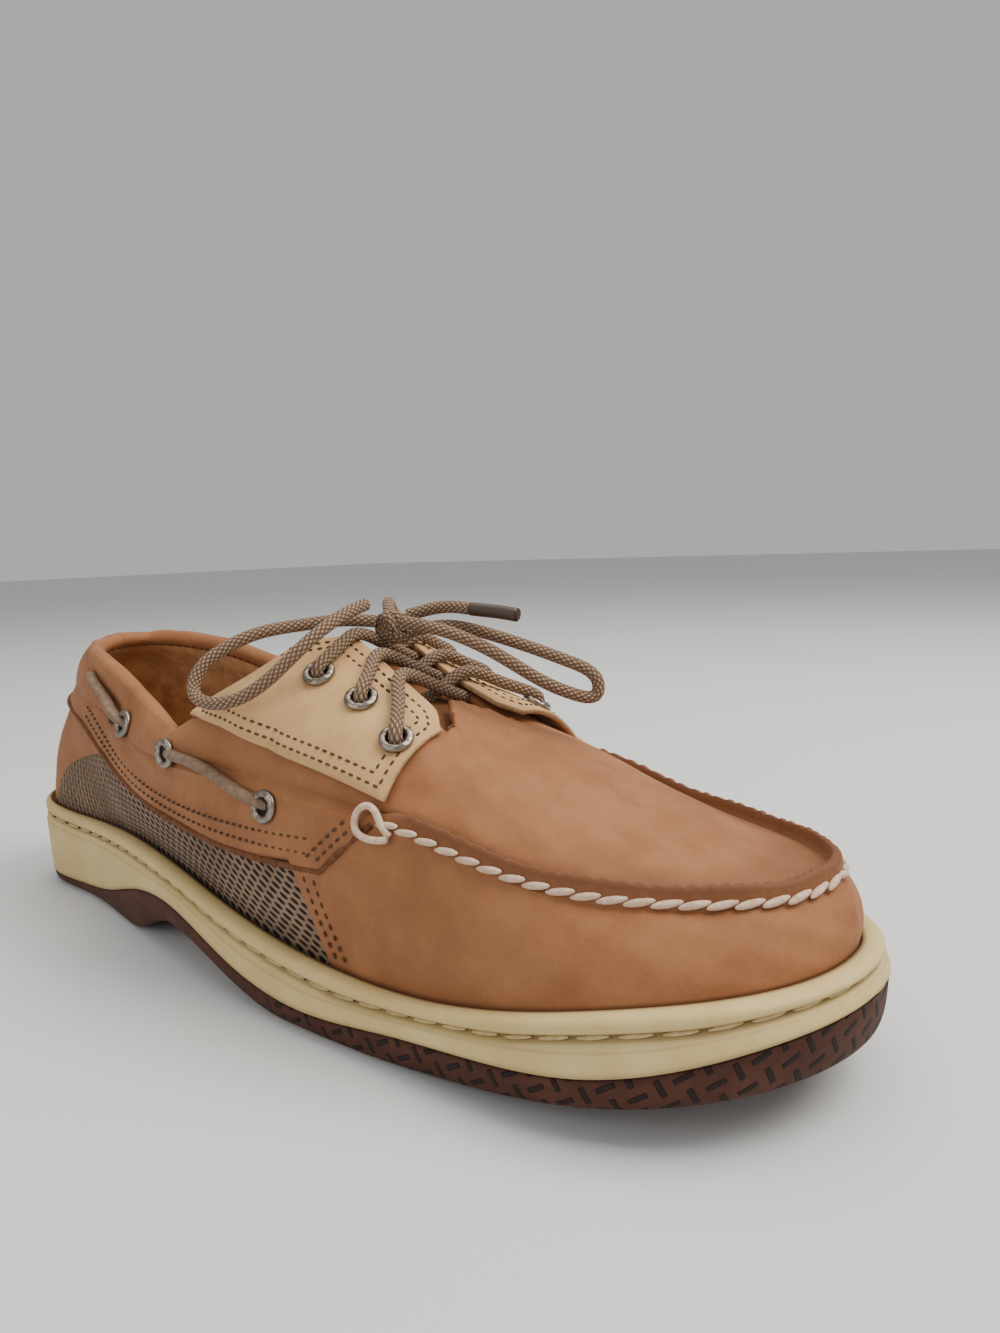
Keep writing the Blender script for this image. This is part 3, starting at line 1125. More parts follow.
@dataclass
class Seams:
    """The upper's stitch rows, its raw edges and the raised seam's thread."""

    maker: MeshMaker
    palette: Palette
    toe: Stitch = Stitch(6.9, 1.75, 1.7, 5.2, -0.2)
    panel: Stitch = Stitch(1.5, 0.8, 0.7, 2.7)
    collar: Stitch = Stitch(2.4, 0.8, 0.7, 3.2)
    quarter_insets: tuple = (3.0, 6.2)
    vamp_insets: tuple = (3.6, 6.8)
    panel_rows: tuple = (0.1, 0.19)
    loop_radius: float = 0.85
    raw_edge_radius: float = 0.95
    collar_level: float = 1.9

    # Route of the seam's first loop in mm: ahead, up and away from its centre.
    LOOP = np.array([
        (7.4, -1.2, 0.9), (4.4, -2.3, 1.2), (0.8, -2.6, 1.2), (-1.6, -1.6, 1.0), (-2.5, 0.7, 0.9),
        (-1.9, 3.0, 0.9), (-0.2, 4.3, 0.8), (1.9, 3.9, 0.6), (3.6, 2.2, 0.4),
        (5.4, 0.6, 0.3), (7.4, -0.4, 0.2),
    ])

    def toe_seam(self) -> Piece:
        """The plump cream stitches on the outer face of the raised seam, with a loop at each start."""
        mesh = bmesh.new()
        turns = np.linspace(SEAM_START - 0.005, 1, 400)
        for side in Side:
            foot = FORM.point(turns, side.value, np.ones_like(turns))
            out = unit(FORM.outline(turns, side.value, 0.0, 0.0) - FORM.outline(turns, side.value, 1.0, 0.0))
            line = foot + out * 0.25
            grow = smooth(turns, SEAM_START - 0.02, SEAM_START + 0.02)
            line[:, 2] += 0.7 + 0.5 * grow
            add_stitches(mesh, line, unit(out + np.array([0, 0, 0.5])), self.toe, side.value)
        stitches = self.maker.finish("toe_seam_stitches", mesh, [self.palette.thread])
        for side in Side:
            centre = FORM.raised(SEAM_START - 0.012, side.value, 0.985, 0.8)
            out = FORM.normal(SEAM_START - 0.012, side.value, 0.95)
            before, after = (FORM.point(SEAM_START + step, side.value, 0.98) for step in (-0.01, 0.01))
            along = unit(after - before)
            up = np.cross(out, along)
            up = up * np.sign(up[2])
            ahead, rise, away = self.LOOP.T
            path = centre + np.outer(ahead, along) + np.outer(rise, up) + np.outer(away, out)
            loop = self.maker.tube(path, self.loop_radius, sides=10, steps=48)
            self.maker.finish(f"seam_loop_{side.name.lower()}", loop, [self.palette.thread])
        return stitches

    def quarter_rows(self) -> Piece:
        """Two rows of dark stitches inside the quarter's lower and front edge, and its raw edge."""
        mesh = bmesh.new()
        for side in Side:
            turns = np.linspace(0.255, 0.565, 40)
            for lift_share in self.panel_rows:
                levels = FORM.panel(turns) + lift_share
                line, normal = Strip(turns, levels, side.value).line(240, 0.15)
                add_stitches(mesh, line, normal, self.panel)
            for back in self.quarter_insets:
                levels = np.linspace(0.66, 0.97, 8)
                turns_up = quarter_front_turn(levels) - back / TURN_SPAN
                line, normal = Strip(turns_up, levels, side.value).line(40, 0.95)
                add_stitches(mesh, line, normal, self.panel)
            for ahead in self.vamp_insets:
                levels = np.linspace(0.05, 0.55, 12)
                lean = VAMP_LEAN * np.minimum(levels / 0.6, 1)
                line, normal = Strip(VAMP_EDGE + ahead / TURN_SPAN - lean, levels, side.value).line(60, 0.1)
                add_stitches(mesh, line, normal, self.panel)
        return self.maker.finish("panel_stitches", mesh, [self.palette.brown_thread])

    def raw_edges(self) -> None:
        """Cut leather edges of the quarter and the vamp."""
        for side in Side:
            low_turns, front_levels = np.linspace(0.1, 0.568, 60), np.linspace(0.6, 0.99, 12)
            turns = np.concatenate([low_turns, quarter_front_turn(front_levels)])
            levels = np.concatenate([FORM.panel(low_turns), front_levels])
            line, _ = Strip(turns, levels, side.value).line(220, -0.25)
            edge = self.maker.tube(line, self.raw_edge_radius, sides=8)
            piece = self.maker.finish(f"quarter_edge_{side.name.lower()}", edge, [self.palette.raw_edge])

    def collar_rows(self) -> Piece:
        """Stitches inside the collar, along the end of the leather that rolls over its edge."""
        mesh = bmesh.new()
        for side in Side:
            turns = np.linspace(0.005, 0.415, 200)
            out = FORM.normal(turns, side.value, self.collar_level)
            line = FORM.point(turns, side.value, self.collar_level) - out * (LEATHER + COLLAR_PAD + 0.05)
            add_stitches(mesh, line, -out, self.collar)
        return self.maker.finish("collar_stitches", mesh, [self.palette.brown_thread])


@dataclass
class Sole:
    """Rubber outsole, cream midsole and insole on the sole's outline."""

    maker: MeshMaker
    palette: Palette
    columns: int = 150
    groove: Stitch = Stitch(7.1, 1.1, 1.1, 8.2, 0.04)
    hole_radius: float = 0.36
    heel_flat_end: float = 78
    breast_end: float = 112
    arch_end: float = 168
    arch_lift: float = 10
    spring_start: float = 196
    toe_spring: float = 13.5
    heel_wear: float = 1.4
    wear_length: float = 14
    tread_bevel: float = 0.5
    flat_inset: float = 4.3
    joint_gap: float = 0.3
    footbed_thick: float = 3.5
    full_side: float = 10

    # Columns: inset in mm and share of the height, up the wrapped edge of the rubber.
    WRAP_ROWS = ((0.8, 0), (0.35, 0.1), (0.0, 0.22), (-0.3, 0.4), (-0.5, 0.6), (-0.65, 0.8), (-0.7, 1))
    # Columns: share of the inset, drop under the rim in mm, dirt. The second table isn't squeezed.
    GROOVE_ROWS = (
        (0.5, 5.2, 0), (0.9, 4.9, 0.3), (1.9, 4.4, 0.8), (2.3, 4.0, 1), (1.9, 3.6, 0.8), (0.5, 3.1, 0.3),
        (0.1, 2.4, 0), (0.15, 1.5, 0),
    )
    LIP_ROWS = ((0.6, 0.7, 0), (1.4, 0.2, 0), (2.4, 0, 0), (3.6, 0.05, 0.1))

    def __post_init__(self) -> None:
        """Places the sole's columns."""
        self.turn, self.side = ring_of(stations((), self.columns))

    def edge(self, inset: Number, z: Number) -> Array:
        """Args: inset, z: of the row, in mm. Returns: a row of points."""
        return FORM.outline(self.turn, self.side, inset, z)

    def inner(self, share: Number, inset: Number, z: Number) -> Array:
        """Args: share: way from the middle to the edge. inset, z: of the row. Returns: a row."""
        edge = FORM.outline(self.turn, self.side, inset, 0)
        across = FORM.outline(self.turn, -self.side, inset, 0)
        middle = stack((edge[:, 0] + across[:, 0]) / 2, HALF_BALL * FORM.centre(self.turn), 0)
        row = middle + (edge - middle) * share
        row[:, 2] = z(row[:, 0]) if callable(z) else z
        return row

    def under(self, x: Number) -> Array:
        """Args: x: mm. Returns: the underside's height there."""
        along = x + HEEL_SEAT
        wear = np.maximum(1 - along / self.wear_length, 0) ** 2 * self.heel_wear
        up = smooth(along, self.heel_flat_end, self.breast_end)
        down = smooth(along, self.breast_end, self.arch_end)
        rise = up * (1 - down) * self.arch_lift
        ahead = (along - self.spring_start) / (SOLE_LENGTH - self.spring_start)
        spring = np.maximum(ahead, 0) ** 1.45 * self.toe_spring
        return wear + rise + spring

    def build_outsole(self) -> Piece:
        """Returns: the brown rubber sole."""
        shift = FORM.joint_inset(self.turn) + SOLE_FLARE
        top = FORM.joint(self.turn) - self.joint_gap

        def low(inset: Number, share: Number) -> Array:
            """Args: inset, share: of the row. Returns: a row of the wrapped edge."""
            floor = self.under(self.edge(inset + shift, 0.0)[:, 0]) + self.tread_bevel
            return self.edge(inset + shift, floor + (top - floor) * share)

        rows = [self.inner(share, shift + self.flat_inset, self.under) for share in (0, 0.5, 1)]
        rows.append(self.inner(1, shift + 1.6, self.under))
        rows += [low(*row) for row in self.WRAP_ROWS]
        inset = FORM.joint_inset(self.turn)
        rows += [self.inner(0.5, inset, top), self.inner(0, inset, top)]
        points = np.array(rows)
        uv = along_uv(points[3:])
        uv = np.concatenate([np.repeat(uv[:1], 3, axis=0), uv])
        tread = np.zeros(points.shape[:2])
        tread[3:11] = smooth(self.turn, 0.5, 0.56)
        mesh = self.maker.sheet(points, uv, {"tread": tread}, wrap=True)
        piece = self.maker.finish("outsole_rubber", mesh, [self.palette.rubber])
        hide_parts("outsole")
        return piece

    def squeeze(self, turn: Number) -> Array:
        """Args: turn: place. Returns: share of the groove's size where the side is low."""
        return np.minimum((FORM.rim(turn) - FORM.joint(turn)) / self.full_side, 1)

    def build_midsole(self) -> Piece:
        """Returns: the cream sole with its step, groove and rounded lip."""
        rim, joint, inset = FORM.rim(self.turn), FORM.joint(self.turn), FORM.joint_inset(self.turn)
        squeeze = self.squeeze(self.turn)
        step = np.maximum(rim - 7, joint + (rim - joint) * 0.4)
        wall = np.maximum(inset, 0) * 0.4
        well = FORM.inset(self.turn)
        scale = well / UPPER_INSET
        groove = [(self.edge(scale * a, rim - drop * squeeze), dirt) for a, drop, dirt in self.GROOVE_ROWS]
        lip = [(self.edge(scale * a, rim - drop), dirt) for a, drop, dirt in self.LIP_ROWS]
        rows = [
            (self.inner(0, inset, joint), 0), (self.inner(0.5, inset, joint), 0),
            (self.edge(inset + 0.4, joint), 0.5), (self.edge(inset, joint + 0.4), 0.5),
            (self.edge(inset, joint + 1.5 * squeeze), 0),
            (self.edge(inset * 0.5 + (wall - 0.4) * 0.5, (joint + step) / 2), 0),
            (self.edge(wall - 0.4, step), 0), (self.edge(wall - 0.1, step + 0.25 * squeeze), 0.3),
            (self.edge(wall + 0.15, step + 0.6 * squeeze), 0),
            *groove, *lip,
            (self.edge(well - 0.3, rim - 0.2), 0.9), (self.edge(well - 0.3, rim - WELL_DEPTH), 1),
            (self.inner(0.5, well, rim - WELL_DEPTH), 1), (self.inner(0, well, rim - WELL_DEPTH), 1),
        ]
        points = np.array([row for row, _ in rows])
        shade = np.array([np.full(len(self.turn), value, float) for _, value in rows])
        mesh = self.maker.sheet(points, along_uv(points), {"shade": shade}, wrap=True)
        piece = self.maker.finish("midsole_cup", mesh, [self.palette.midsole])
        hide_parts("midsole")
        self.groove_stitches()
        return piece

    def groove_stitches(self) -> None:
        """Long cream stitches in the midsole's groove, each end in a dark hole."""
        stitches, holes = bmesh.new(), bmesh.new()
        turns = np.linspace(0.02, 0.998, 500)
        for side in Side:
            scale = FORM.inset(turns) / UPPER_INSET
            drop = 4.0 * self.squeeze(turns)
            line = FORM.outline(turns, side.value, scale * 1.35, FORM.rim(turns) - drop)
            out = unit(FORM.outline(turns, side.value, 0.0, 0.0) - FORM.outline(turns, side.value, 1.0, 0.0))
            add_stitches(stitches, line, out, self.groove)
            run = np.concatenate([[0], np.cumsum(np.linalg.norm(np.diff(line, axis=0), axis=1))])
            ends = smooth_path(line[::5], max(int(run[-1] / self.groove.pitch), 2) + 1)
            for end in ends:
                k = int(np.argmin(((line - end) ** 2).sum(1)))
                matrix = Matrix.Translation(Vector((line[k] - out[k] * 0.15) * MM))
                bmesh.ops.create_icosphere(holes, subdivisions=1, radius=self.hole_radius * MM, matrix=matrix)
        piece = self.maker.finish("groove_stitches", stitches, [self.palette.groove_thread])
        self.maker.finish("groove_holes", holes, [self.palette.dark])

    def build_insole(self) -> Piece:
        """Returns: the footbed inside the shoe."""
        inset = FORM.inset(self.turn) + LEATHER + PANEL_STEP + 0.6
        low = FORM.rim(self.turn) - WELL_DEPTH + 0.3
        top = low + self.footbed_thick
        rows = [
            self.inner(0, inset, low), self.edge(inset, low), self.edge(inset + 0.1, top - 0.7),
            self.edge(inset + 0.8, top), self.inner(0.6, inset, top), self.inner(0, inset, top),
        ]
        points = np.array(rows)
        mesh = self.maker.sheet(points, along_uv(points), wrap=True)
        piece = self.maker.finish("insole_leather", mesh, [self.palette.lining])
        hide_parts("insole")
        return piece


@dataclass
class Saddles:
    """The two pale saddles and the tongue under the throat."""

    maker: MeshMaker
    palette: Palette
    thread: Stitch = Stitch(1.6, 0.75, 0.6, 2.5)
    stitch_insets: tuple = (2.2, 4.8)
    tongue_thick: float = 2.0

    # Columns: turn, share of the tongue's sag under the throat.
    TONGUE = np.array([(0.475, 0.8), (0.495, 0.94), (0.515, 0.88), (0.54, 0.82), (0.56, 0.76), (0.58, 0.7),
                       (0.6, 0.64), (0.625, 0.64)])

    def lift_at(self, turn: Number, share: Number, side: Side) -> Array:
        """Args: place on the saddle. Returns: its rise over the form, in mm."""
        lift = SADDLE_LIFT if side is Side.MEDIAL else 0
        return SADDLE_REST + FORM.saddle_curl(turn) * lift * np.sqrt(np.maximum(share, 0))

    def level_at(self, turn: Number, share: Number) -> Array:
        """Args: turn, share: place between lower and top edge. Returns: level of the form."""
        corner = smooth(turn, SADDLE_FRONT - 0.02, SADDLE_FRONT) ** 2 * 0.12
        low = FORM.saddle_low(turn)
        return low + (2 - corner - low) * share

    def place(self, turn: Number, share: Number, side: Side, rise: Number) -> Array:
        """Args: place and rise over the saddle's underside. Returns: points."""
        turn, share = np.broadcast_arrays(np.asarray(turn, float), np.asarray(share, float))
        reach = SADDLE_REACH * smooth(share, 0.9, 1.0)
        lift = self.lift_at(turn, share, side) + rise
        return FORM.raised(turn, side.value, self.level_at(turn, share), lift, reach)

    def build(self, side: Side) -> Piece:
        """Args: side: which saddle. Returns: the leather plate with its raw edge."""
        turns = np.linspace(SADDLE_REAR, SADDLE_FRONT, 70)
        shares = np.linspace(0, 1, 40)
        turn, share = np.meshgrid(turns, shares, indexing="ij")
        ends = np.minimum(turn - SADDLE_REAR, SADDLE_FRONT - turn) * TURN_SPAN
        edge = np.minimum(ends, np.minimum(share, 1 - share) * 26)
        soft = 0.35 * (1 - smooth(edge, 0, 1.6))
        ripple = 0.12 * np.sin(turn * 140) * np.sin(share * 9)
        top = self.place(turn, share, side, SADDLE_THICK - soft + ripple)
        bottom = self.place(turn, share, side, 0.0)
        rim = [np.s_[0, :], np.s_[:, -1], np.s_[-1, ::-1], np.s_[::-1, 0]]
        upper = np.concatenate([top[r][:-1] for r in rim])
        lower = np.concatenate([bottom[r][:-1] for r in rim])
        shade = 0.25 * (1 - smooth(edge, 0, 2.2))
        name = side.name.lower()
        face = self.maker.sheet(top, self.plane_uv(top), {"shade": shade})
        back = self.maker.sheet(bottom, self.plane_uv(bottom), {"shade": shade})
        wall_rows = np.array([lower + (upper - lower) * t for t in (0, 0.3, 0.6, 0.85, 1)])
        bulge = unit(upper - upper.mean(0)) * 0.35
        wall_rows[1:4] += bulge[None] * np.array([0.6, 1.0, 0.7])[:, None, None]
        clean = {"shade": np.zeros(wall_rows.shape[:2])}
        wall = self.maker.sheet(wall_rows, along_uv(wall_rows), clean, wrap=True)
        plate = bmesh.new()
        for index, part in enumerate((face, back, wall)):
            for polygon in part.faces:
                polygon.material_index = 1 if index == 2 else 0
            join(plate, part)
        bmesh.ops.remove_doubles(plate, verts=plate.verts, dist=1e-5)
        bmesh.ops.recalc_face_normals(plate, faces=plate.faces)
        looks = [self.palette.saddle, self.palette.pale_edge]
        piece = self.maker.finish(f"saddle_plate_{name}", plate, looks)
        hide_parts(f"saddle_{name}")
        return piece

    def plane_uv(self, points: Array) -> Array:
        """Args: points: of a face. Returns: UV in metres from X and height."""
        return np.stack([points[..., 0], points[..., 2]], axis=-1) * MM

    def width_at(self, turn: Number, side: Side) -> Array:
        """Args: turn, side: place. Returns: the saddle's width there in mm."""
        span = self.place(turn, 1.0, side, 0.0) - self.place(turn, 0.0, side, 0.0)
        return np.linalg.norm(span, axis=-1)

    def stitches(self, side: Side) -> Piece:
        """Args: side. Double rows of brown stitches inside the saddle's edges."""
        mesh = bmesh.new()
        for inset in self.stitch_insets:
            front = SADDLE_FRONT - inset / TURN_SPAN
            low_turns = np.linspace(0.468, front, 90)
            low_shares = inset / self.width_at(low_turns, side)
            top_turns = np.linspace(front, 0.505, 70)
            top_shares = 1 - inset / self.width_at(top_turns, side)
            rise = np.linspace(low_shares[-1], top_shares[0], 40)
            turns = np.concatenate([low_turns, np.full(38, front), top_turns])
            shares = np.concatenate([low_shares, rise[1:-1], top_shares])
            line = self.place(turns, shares, side, SADDLE_THICK + 0.02)
            normal = FORM.normal(turns, side.value, np.full(len(turns), 1.5))
            add_stitches(mesh, line, normal, self.thread)
        return self.maker.finish(f"saddle_stitches_{side.name.lower()}", mesh, [self.palette.brown_thread])

    def tongue(self) -> Piece:
        """Returns: the tongue's leather."""
        turns = np.linspace(self.TONGUE[0, 0], self.TONGUE[-1, 0], 40)
        sink = np.interp(turns, self.TONGUE[:, 0], self.TONGUE[:, 1])
        a = FORM.raised(turns, -1, 1.62, -5.2)
        b = FORM.raised(turns, 1, 1.62, -5.2)
        middle = (FORM.top_edge(turns, -1.0) + FORM.top_edge(turns, 1.0)) / 2
        middle[:, 2] -= 5 * sink + 2
        c = np.linspace(-1, 1, 24)[None, :, None]
        arc = a[:, None] * c * (c - 1) / 2 + middle[:, None] * (1 - c * c) + b[:, None] * c * (c + 1) / 2
        over = arc + np.array([0, 0, self.tongue_thick])
        rows = np.concatenate([arc, over[:, ::-1]], axis=1)
        shade = {"shade": np.full(rows.shape[:2], 0.35)}
        mesh = self.maker.sheet(rows, self.plane_uv(rows), shade, wrap=True)
        bmesh.ops.edgeloop_fill(mesh, edges=[e for e in mesh.edges if e.is_boundary])
        bmesh.ops.recalc_face_normals(mesh, faces=mesh.faces)
        piece = self.maker.finish("tongue_leather", mesh, [self.palette.tan])
        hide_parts("tongue")
        return piece


@dataclass
class Hardware:
    """Eyelets and the lace that runs through them."""

    maker: MeshMaker
    palette: Palette
    strand_radius: float = 2.0
    strand_squash: float = 0.72
    bore_radius: float = 2.35
    notches: int = 9
    notch_depth: float = 0.28

    # Turn where each pair's lace meets the throat.
    CROSS = {"top": 0.537, "middle": 0.557, "front": 0.576}
    # Columns: radius and height of the rolled ring's section.
    RING = (
        (2.3, -0.6), (2.2, 0.3), (2.35, 0.95), (2.8, 1.35), (3.4, 1.4), (4.0, 1.1), (4.25, 0.7), (4.3, 0.2),
        (4.1, -0.1),
    )

    def seat(self, name: str, side: Side) -> tuple:
        """Args: name, side: of an eyelet. Returns: its centre and outward direction, in mm."""
        on_saddle = name in SADDLE_EYELETS
        turn, level = SADDLE_EYELETS[name] if on_saddle else SIDE_EYELETS[name]
        low = FORM.saddle_low(turn)
        share = max((level - low) / (2 - low), 0)
        curl = FORM.saddle_curl(turn) * SADDLE_LIFT * math.sqrt(share) if side is Side.MEDIAL else 0
        lift = SADDLE_REST + SADDLE_THICK + curl if on_saddle else 0
        return FORM.raised(turn, side.value, level, lift), FORM.normal(turn, side.value, level)

    def eyelet(self, name: str, side: Side) -> Piece:
        """Args: name, side. Returns: the rolled ring with its dark bore."""
        centre, out = self.seat(name, side)
        ring = bmesh.new()
        verts = [ring.verts.new((r * MM, 0, z * MM)) for r, z in self.RING]
        edges = [ring.edges.new(pair) for pair in zip(verts[:-1], verts[1:])]
        bmesh.ops.spin(ring, geom=verts + edges, cent=(0, 0, 0), axis=(0, 0, 1), angle=2 * math.pi, steps=36)
        bmesh.ops.remove_doubles(ring, verts=ring.verts, dist=1e-6)
        bmesh.ops.recalc_face_normals(ring, faces=ring.faces)
        for vert in ring.verts:
            away = math.hypot(vert.co.x, vert.co.y)
            angle = math.atan2(vert.co.y, vert.co.x)
            if 0.0027 < away < 0.0041 and math.cos(angle * self.notches) > 0.75:
                vert.co.z -= self.notch_depth * MM
        bore = bmesh.ops.create_circle(ring, cap_ends=True, segments=24, radius=self.bore_radius * MM,
                                       matrix=Matrix.Translation((0, 0, 0.15 * MM)))
        for vert in bore["verts"]:
            for face in vert.link_faces:
                face.material_index = 1
        turn = Vector((0, 0, 1)).rotation_difference(Vector(out)).to_matrix().to_4x4()
        place = Matrix.Translation(Vector((centre + out * (EYELET_SEAT - 0.35)) * MM))
        bmesh.ops.transform(ring, matrix=place @ turn, verts=ring.verts)
        label = f"{name}_{side.name.lower()}"
        piece = self.maker.finish(f"ring_{label}", ring, [self.palette.nickel, self.palette.dark])
        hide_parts(f"eyelet_{label}")
        return piece

    def side_strands(self, side: Side) -> None:
        """Args: side. The bar of lace between two side eyelets and the strand in the collar's channel."""
        label = side.name.lower()
        front, middle, back = (SIDE_EYELETS[name] for name in ("side_front", "side_middle", "side_back"))
        for name, start, end, heights in (
            ("side", front, middle, (-1.2, 1.6, 1.7, 1.7, 1.6, -1.2)),
            ("heel", back, HEEL_LACE_END, (-1.2, 1.4, 0.9, 0.5, 0.2, -0.9)),
        ):
            share = np.array([0, 0.13, 0.35, 0.65, 0.87, 1])
            turn = start[0] + (end[0] - start[0]) * share
            level = start[1] + (end[1] - start[1]) * share
            path = FORM.raised(turn, side.value, level, np.array(heights))
            strand = self.maker.tube(path, self.strand_radius, sides=16, steps=60, squash=self.strand_squash)
            piece = self.maker.finish(f"{name}_strand_{label}", strand, [self.palette.satin])
            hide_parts(f"lace_{name}_{label}")

    def crossing(self, name: str) -> None:
        """Args: name: of the eyelet pair. Two strands that cross over the throat."""
        turn = self.CROSS[name]
        strands = bmesh.new()
        for side in Side:
            centre, out = self.seat(name, side)
            far_side = Side.MEDIAL if side is Side.LATERAL else Side.LATERAL
            curl = FORM.saddle_curl(turn) * SADDLE_LIFT if side is Side.MEDIAL else 0
            edge = FORM.top_edge(turn, side.value) + np.array([0, 0, 4.6 + curl])
            far = FORM.top_edge(turn, far_side.value)
            middle = (FORM.top_edge(turn, -1.0) + FORM.top_edge(turn, 1.0)) / 2
            rise = 1.5 if side is Side.LATERAL else -1.6
            shift = np.array([0.5 if side is Side.LATERAL else -2.2, 0, 0])
            end = middle + (far - middle) * 1.12 + shift * 1.5 + np.array([0, 0, -2.4])
            path = [centre - out * 2.2, centre + out * 1.9, (centre + out * 3.4 + edge) / 2, edge,
                    middle + shift + np.array([0, 0, rise]), end]
            join(strands, self.maker.tube(path, LACE_DIAMETER / 2, sides=16, steps=60))
        piece = self.maker.finish(f"crossing_{name}", strands, [self.palette.braid_look])
        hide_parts(f"lace_crossing_{name}")


@dataclass
class Bow:
    """The bow: a knot, two loops and two ends with dark tips."""

    maker: MeshMaker
    palette: Palette
    sleeve_step: float = 0.12

    LATERAL_LOOP = [
        (125.8, -5.6, 95.8), (118.5, -12, 96.4), (111, -19, 95.6), (105, -28, 94.2), (100, -35, 91),
        (96.3, -41, 86), (96.5, -44, 80.5), (103, -45, 77.8), (113, -42.8, 79),
        (121, -38.5, 84.2), (127, -32, 92),
        (128, -21, 98), (126, -9.6, 100.6),
    ]
    MEDIAL_LOOP = [
        (133.4, 0.5, 93), (142, 5, 94), (152, 9, 92), (162, 15, 88), (171, 20, 84), (177, 23.5, 79.5),
        (177, 23, 75), (172.5, 18, 76), (167, 12, 80), (160, 4, 87), (149, -2, 93), (135.4, -4.8, 95.8),
    ]
    FRONT_END = [(131, 1.2, 97), (140, 6, 99), (149, 6.5, 98.6)]
    FRONT_TIP = [(149.5, 6.5, 98.6), (157, 6.8, 98), (164, 7, 97.2)]
    BACK_END = [(125, 0.8, 95), (116, 9, 99.5), (108, 18, 98), (101, 27, 93.5)]
    BACK_TIP = [(100.6, 27.4, 93), (96.5, 32.5, 88), (93, 36, 82)]
    KNOT = (129, -2, 94)

    def loop(self, name: str, points: list, node: str, pieces: tuple | list = ()) -> None:
        """Args: name, route in mm, CAD node, pieces on it. A loop back to the knot, declared as a cord."""
        line = smooth_path(points, 150)
        tube = self.maker.tube(line, LACE_DIAMETER / 2, sides=16)
        strand = self.maker.finish(name, tube, [self.palette.braid_look])
        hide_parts(node)
        path_length(line) * MM

    def end(self, name: str, points: list, tip: list, nodes: tuple) -> None:
        """Args: name, routes of the end and its tip, CAD nodes. A free end with its dark tip."""
        line = smooth_path(points + tip[1:], 70)
        tube = self.maker.tube(line, LACE_DIAMETER / 2, sides=16)
        strand = self.maker.finish(name, tube, [self.palette.braid_look])
        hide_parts(nodes[0])
        sleeve_line = line[np.linalg.norm(line - np.array(tip[0]), axis=1).argmin():]
        sleeve = self.maker.tube(sleeve_line, LACE_DIAMETER / 2 + self.sleeve_step, sides=16)
        sleeve = self.maker.finish(f"{name}_sleeve", sleeve, [self.palette.tip])
        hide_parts(nodes[1])
        path_length(line) * MM

    def knot(self) -> Piece:
        """Returns: three short wraps of lace that make the knot."""
        wraps = bmesh.new()
        centre = np.array(self.KNOT)
        for offset, tilt, radius, squeeze in (((0, 0, 0), 0.5, 3.0, 1.0), ((1.6, 1.6, -0.3), 0.9, 2.7, 0.9),
                                              ((-1.8, -1.2, 0.2), 0.15, 2.6, 0.95)):
            angle = np.linspace(-0.3, 2 * np.pi - 0.4, 14)
            across, up = np.cos(angle) * radius * 0.75, np.sin(angle) * radius * squeeze
            ring = np.stack([across, np.zeros_like(angle), up], axis=-1)
            cos, sin = math.cos(tilt), math.sin(tilt)
            turn = np.array([[cos, -sin, 0], [sin, cos, 0], [0, 0, 1]])
            path = centre + np.array(offset) + ring @ turn.T
            join(wraps, self.maker.tube(path, LACE_DIAMETER / 2, sides=16, steps=44))
        piece = self.maker.finish("bow_knot", wraps, [self.palette.braid_look])
        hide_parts("lace_knot")
        return piece

    def build(self) -> None:
        """Makes the whole bow."""
        self.loop("bow_loop_lateral", self.LATERAL_LOOP, "lace_loop_lateral", [self.knot()])
        self.loop("bow_loop_medial", self.MEDIAL_LOOP, "lace_loop_medial")
        self.end("bow_end_front", self.FRONT_END, self.FRONT_TIP, ("lace_end_front", "lace_tip_front"))
        self.end("bow_end_back", self.BACK_END, self.BACK_TIP, ("lace_end_back", "lace_tip_back"))


@dataclass(frozen=True)
class Lamp:
    """A square soft light: place and size in metres, power in watts."""

    name: str
    place: tuple
    size: float
    power: float
    colour: tuple


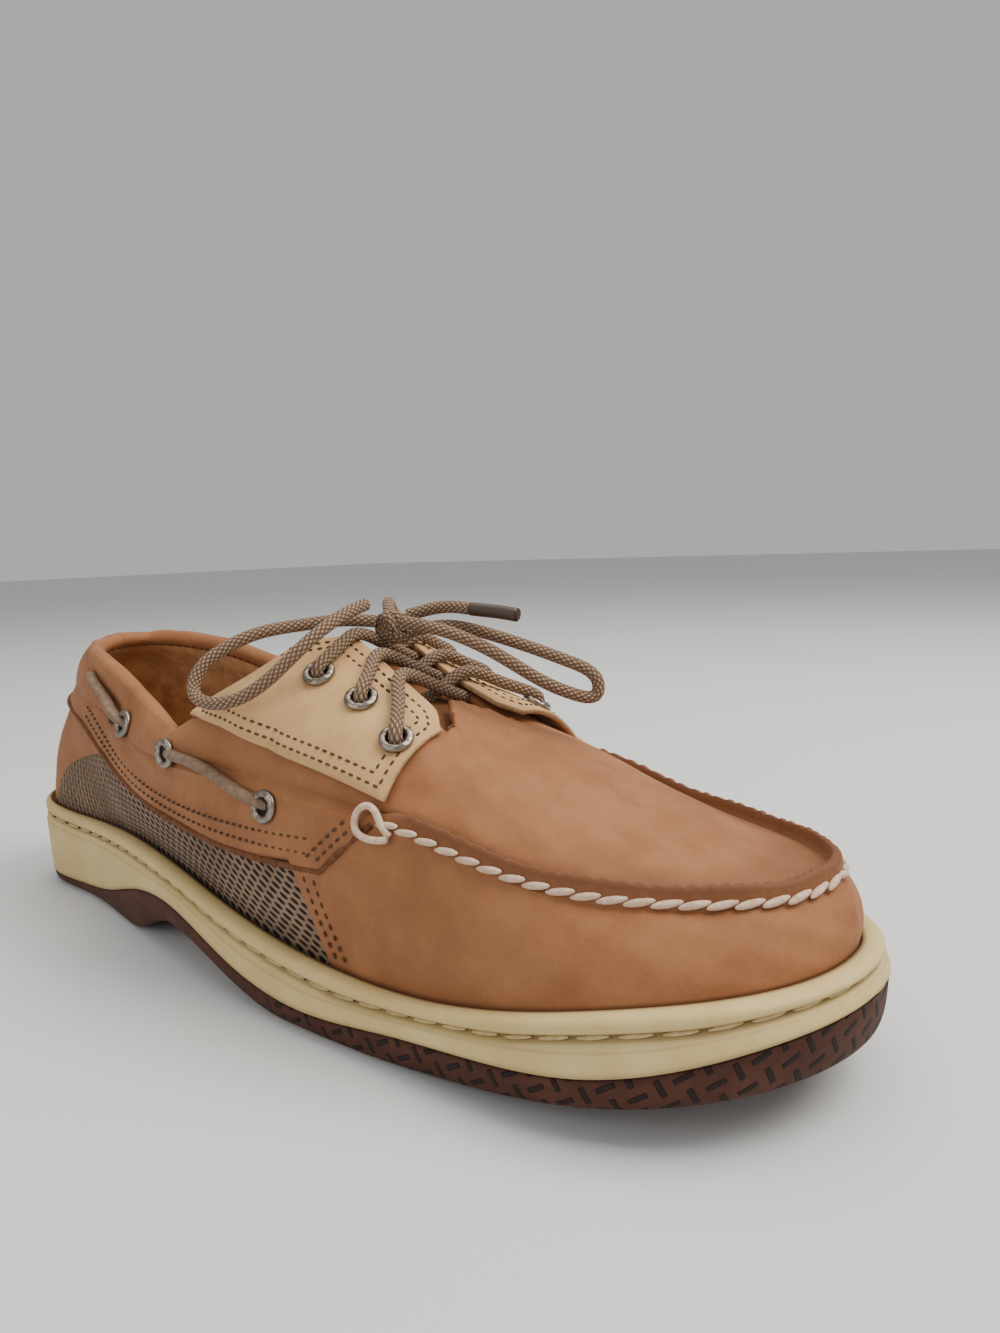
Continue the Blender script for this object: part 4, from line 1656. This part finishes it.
@dataclass
class Studio:
    """Camera at the photo's place, soft lights and a plain floor."""

    focal_pixels: float = 941.7
    picture_height: float = 1333
    place: tuple = (309.73, -184.24, 114.69)
    yaw: float = 128.44
    pitch: float = 7.26
    roll: float = 1.99
    target: tuple = (0.11, 0, 0.05)
    lamps: tuple = (
        Lamp("key", (0.75, 0.35, 0.95), 0.7, 15, (1.0, 0.95, 0.88)),
        Lamp("top", (0.0, 0.2, 1.3), 1.2, 9, (1.0, 0.98, 0.95)),
        Lamp("fill", (0.1, -1.2, 0.6), 1.0, 5, (1.0, 0.98, 0.95)),
    )

    def camera(self) -> Piece:
        """Returns: the camera."""
        yaw, pitch, roll = (math.radians(a) for a in (self.yaw, self.pitch, self.roll))
        ahead = Vector((math.cos(pitch) * math.cos(yaw), math.cos(pitch) * math.sin(yaw), -math.sin(pitch)))
        right = ahead.cross(Vector((0, 0, 1))).normalized()
        down = ahead.cross(right)
        right_turned = right * math.cos(roll) + down * math.sin(roll)
        down_turned = down * math.cos(roll) - right * math.sin(roll)
        data = bpy.data.cameras.new("photo_camera")
        data.sensor_width = 36
        data.sensor_fit = "AUTO"
        data.lens = self.focal_pixels / self.picture_height * data.sensor_width
        data.clip_start = 0.01
        data.clip_end = 20
        thing = bpy.data.objects.new("photo_camera", data)
        matrix = Matrix((right_turned, -down_turned, -ahead)).transposed().to_4x4()
        matrix.translation = Vector(self.place) * MM
        thing.matrix_world = matrix
        bpy.context.scene.collection.objects.link(thing)
        bpy.context.scene.camera = thing
        return thing

    def area_light(self, lamp: Lamp) -> None:
        """Args: lamp: the soft light to add."""
        data = bpy.data.lights.new(lamp.name, "AREA")
        data.shape = "SQUARE"
        data.size = lamp.size
        data.energy = lamp.power
        data.color = lamp.colour
        thing = bpy.data.objects.new(lamp.name, data)
        thing.location = lamp.place
        towards = Vector(self.target) - Vector(lamp.place)
        thing.rotation_euler = towards.to_track_quat("-Z", "Y").to_euler()
        bpy.context.scene.collection.objects.link(thing)

    def lights(self) -> None:
        """Soft light from above and the right, with a fill from the camera's side."""
        for lamp in self.lamps:
            self.area_light(lamp)
        world = bpy.data.worlds.new("soft_world")
        world.use_nodes = True
        world.node_tree.nodes["Background"].inputs[0].default_value = (0.9, 0.9, 0.89, 1)
        world.node_tree.nodes["Background"].inputs[1].default_value = 0.55
        bpy.context.scene.world = world

    def floor(self) -> None:
        """A plain pale floor."""
        mesh = bmesh.new()
        bmesh.ops.create_grid(mesh, x_segments=2, y_segments=2, size=6)
        data = bpy.data.meshes.new("floor")
        mesh.to_mesh(data)
        mesh.free()
        material = bpy.data.materials.new("floor")
        material.use_nodes = True
        shader = next(n for n in material.node_tree.nodes if n.type == "BSDF_PRINCIPLED")
        shader.inputs["Base Color"].default_value = (0.66, 0.67, 0.67, 1)
        shader.inputs["Roughness"].default_value = 0.7
        data.materials.append(material)
        thing = bpy.data.objects.new("floor", data)
        thing.location = (0, 0, -0.0002)
        bpy.context.scene.collection.objects.link(thing)


def main() -> None:
    """Builds the scene."""
    logging.basicConfig(level=logging.INFO, format="%(name)s %(message)s")
    studio = Studio()
    studio.camera()
    maker, palette = MeshMaker("root"), Palette()
    Bow(maker, palette).build()
    sole = Sole(maker, palette)
    sole.build_outsole()
    sole.build_midsole()
    sole.build_insole()
    Upper(maker, palette).build()
    seams = Seams(maker, palette)
    seams.toe_seam()
    seams.quarter_rows()
    seams.raw_edges()
    seams.collar_rows()
    saddles = Saddles(maker, palette)
    hardware = Hardware(maker, palette)
    for side in Side:
        saddles.build(side)
        saddles.stitches(side)
        hardware.side_strands(side)
        for name in (*SADDLE_EYELETS, *SIDE_EYELETS):
            hardware.eyelet(name, side)
    saddles.tongue()
    for name in SADDLE_EYELETS:
        hardware.crossing(name)
    studio.lights()
    studio.floor()
    log.info("all pieces: %d triangles", maker.total)


if __name__ == "__main__":
    main()
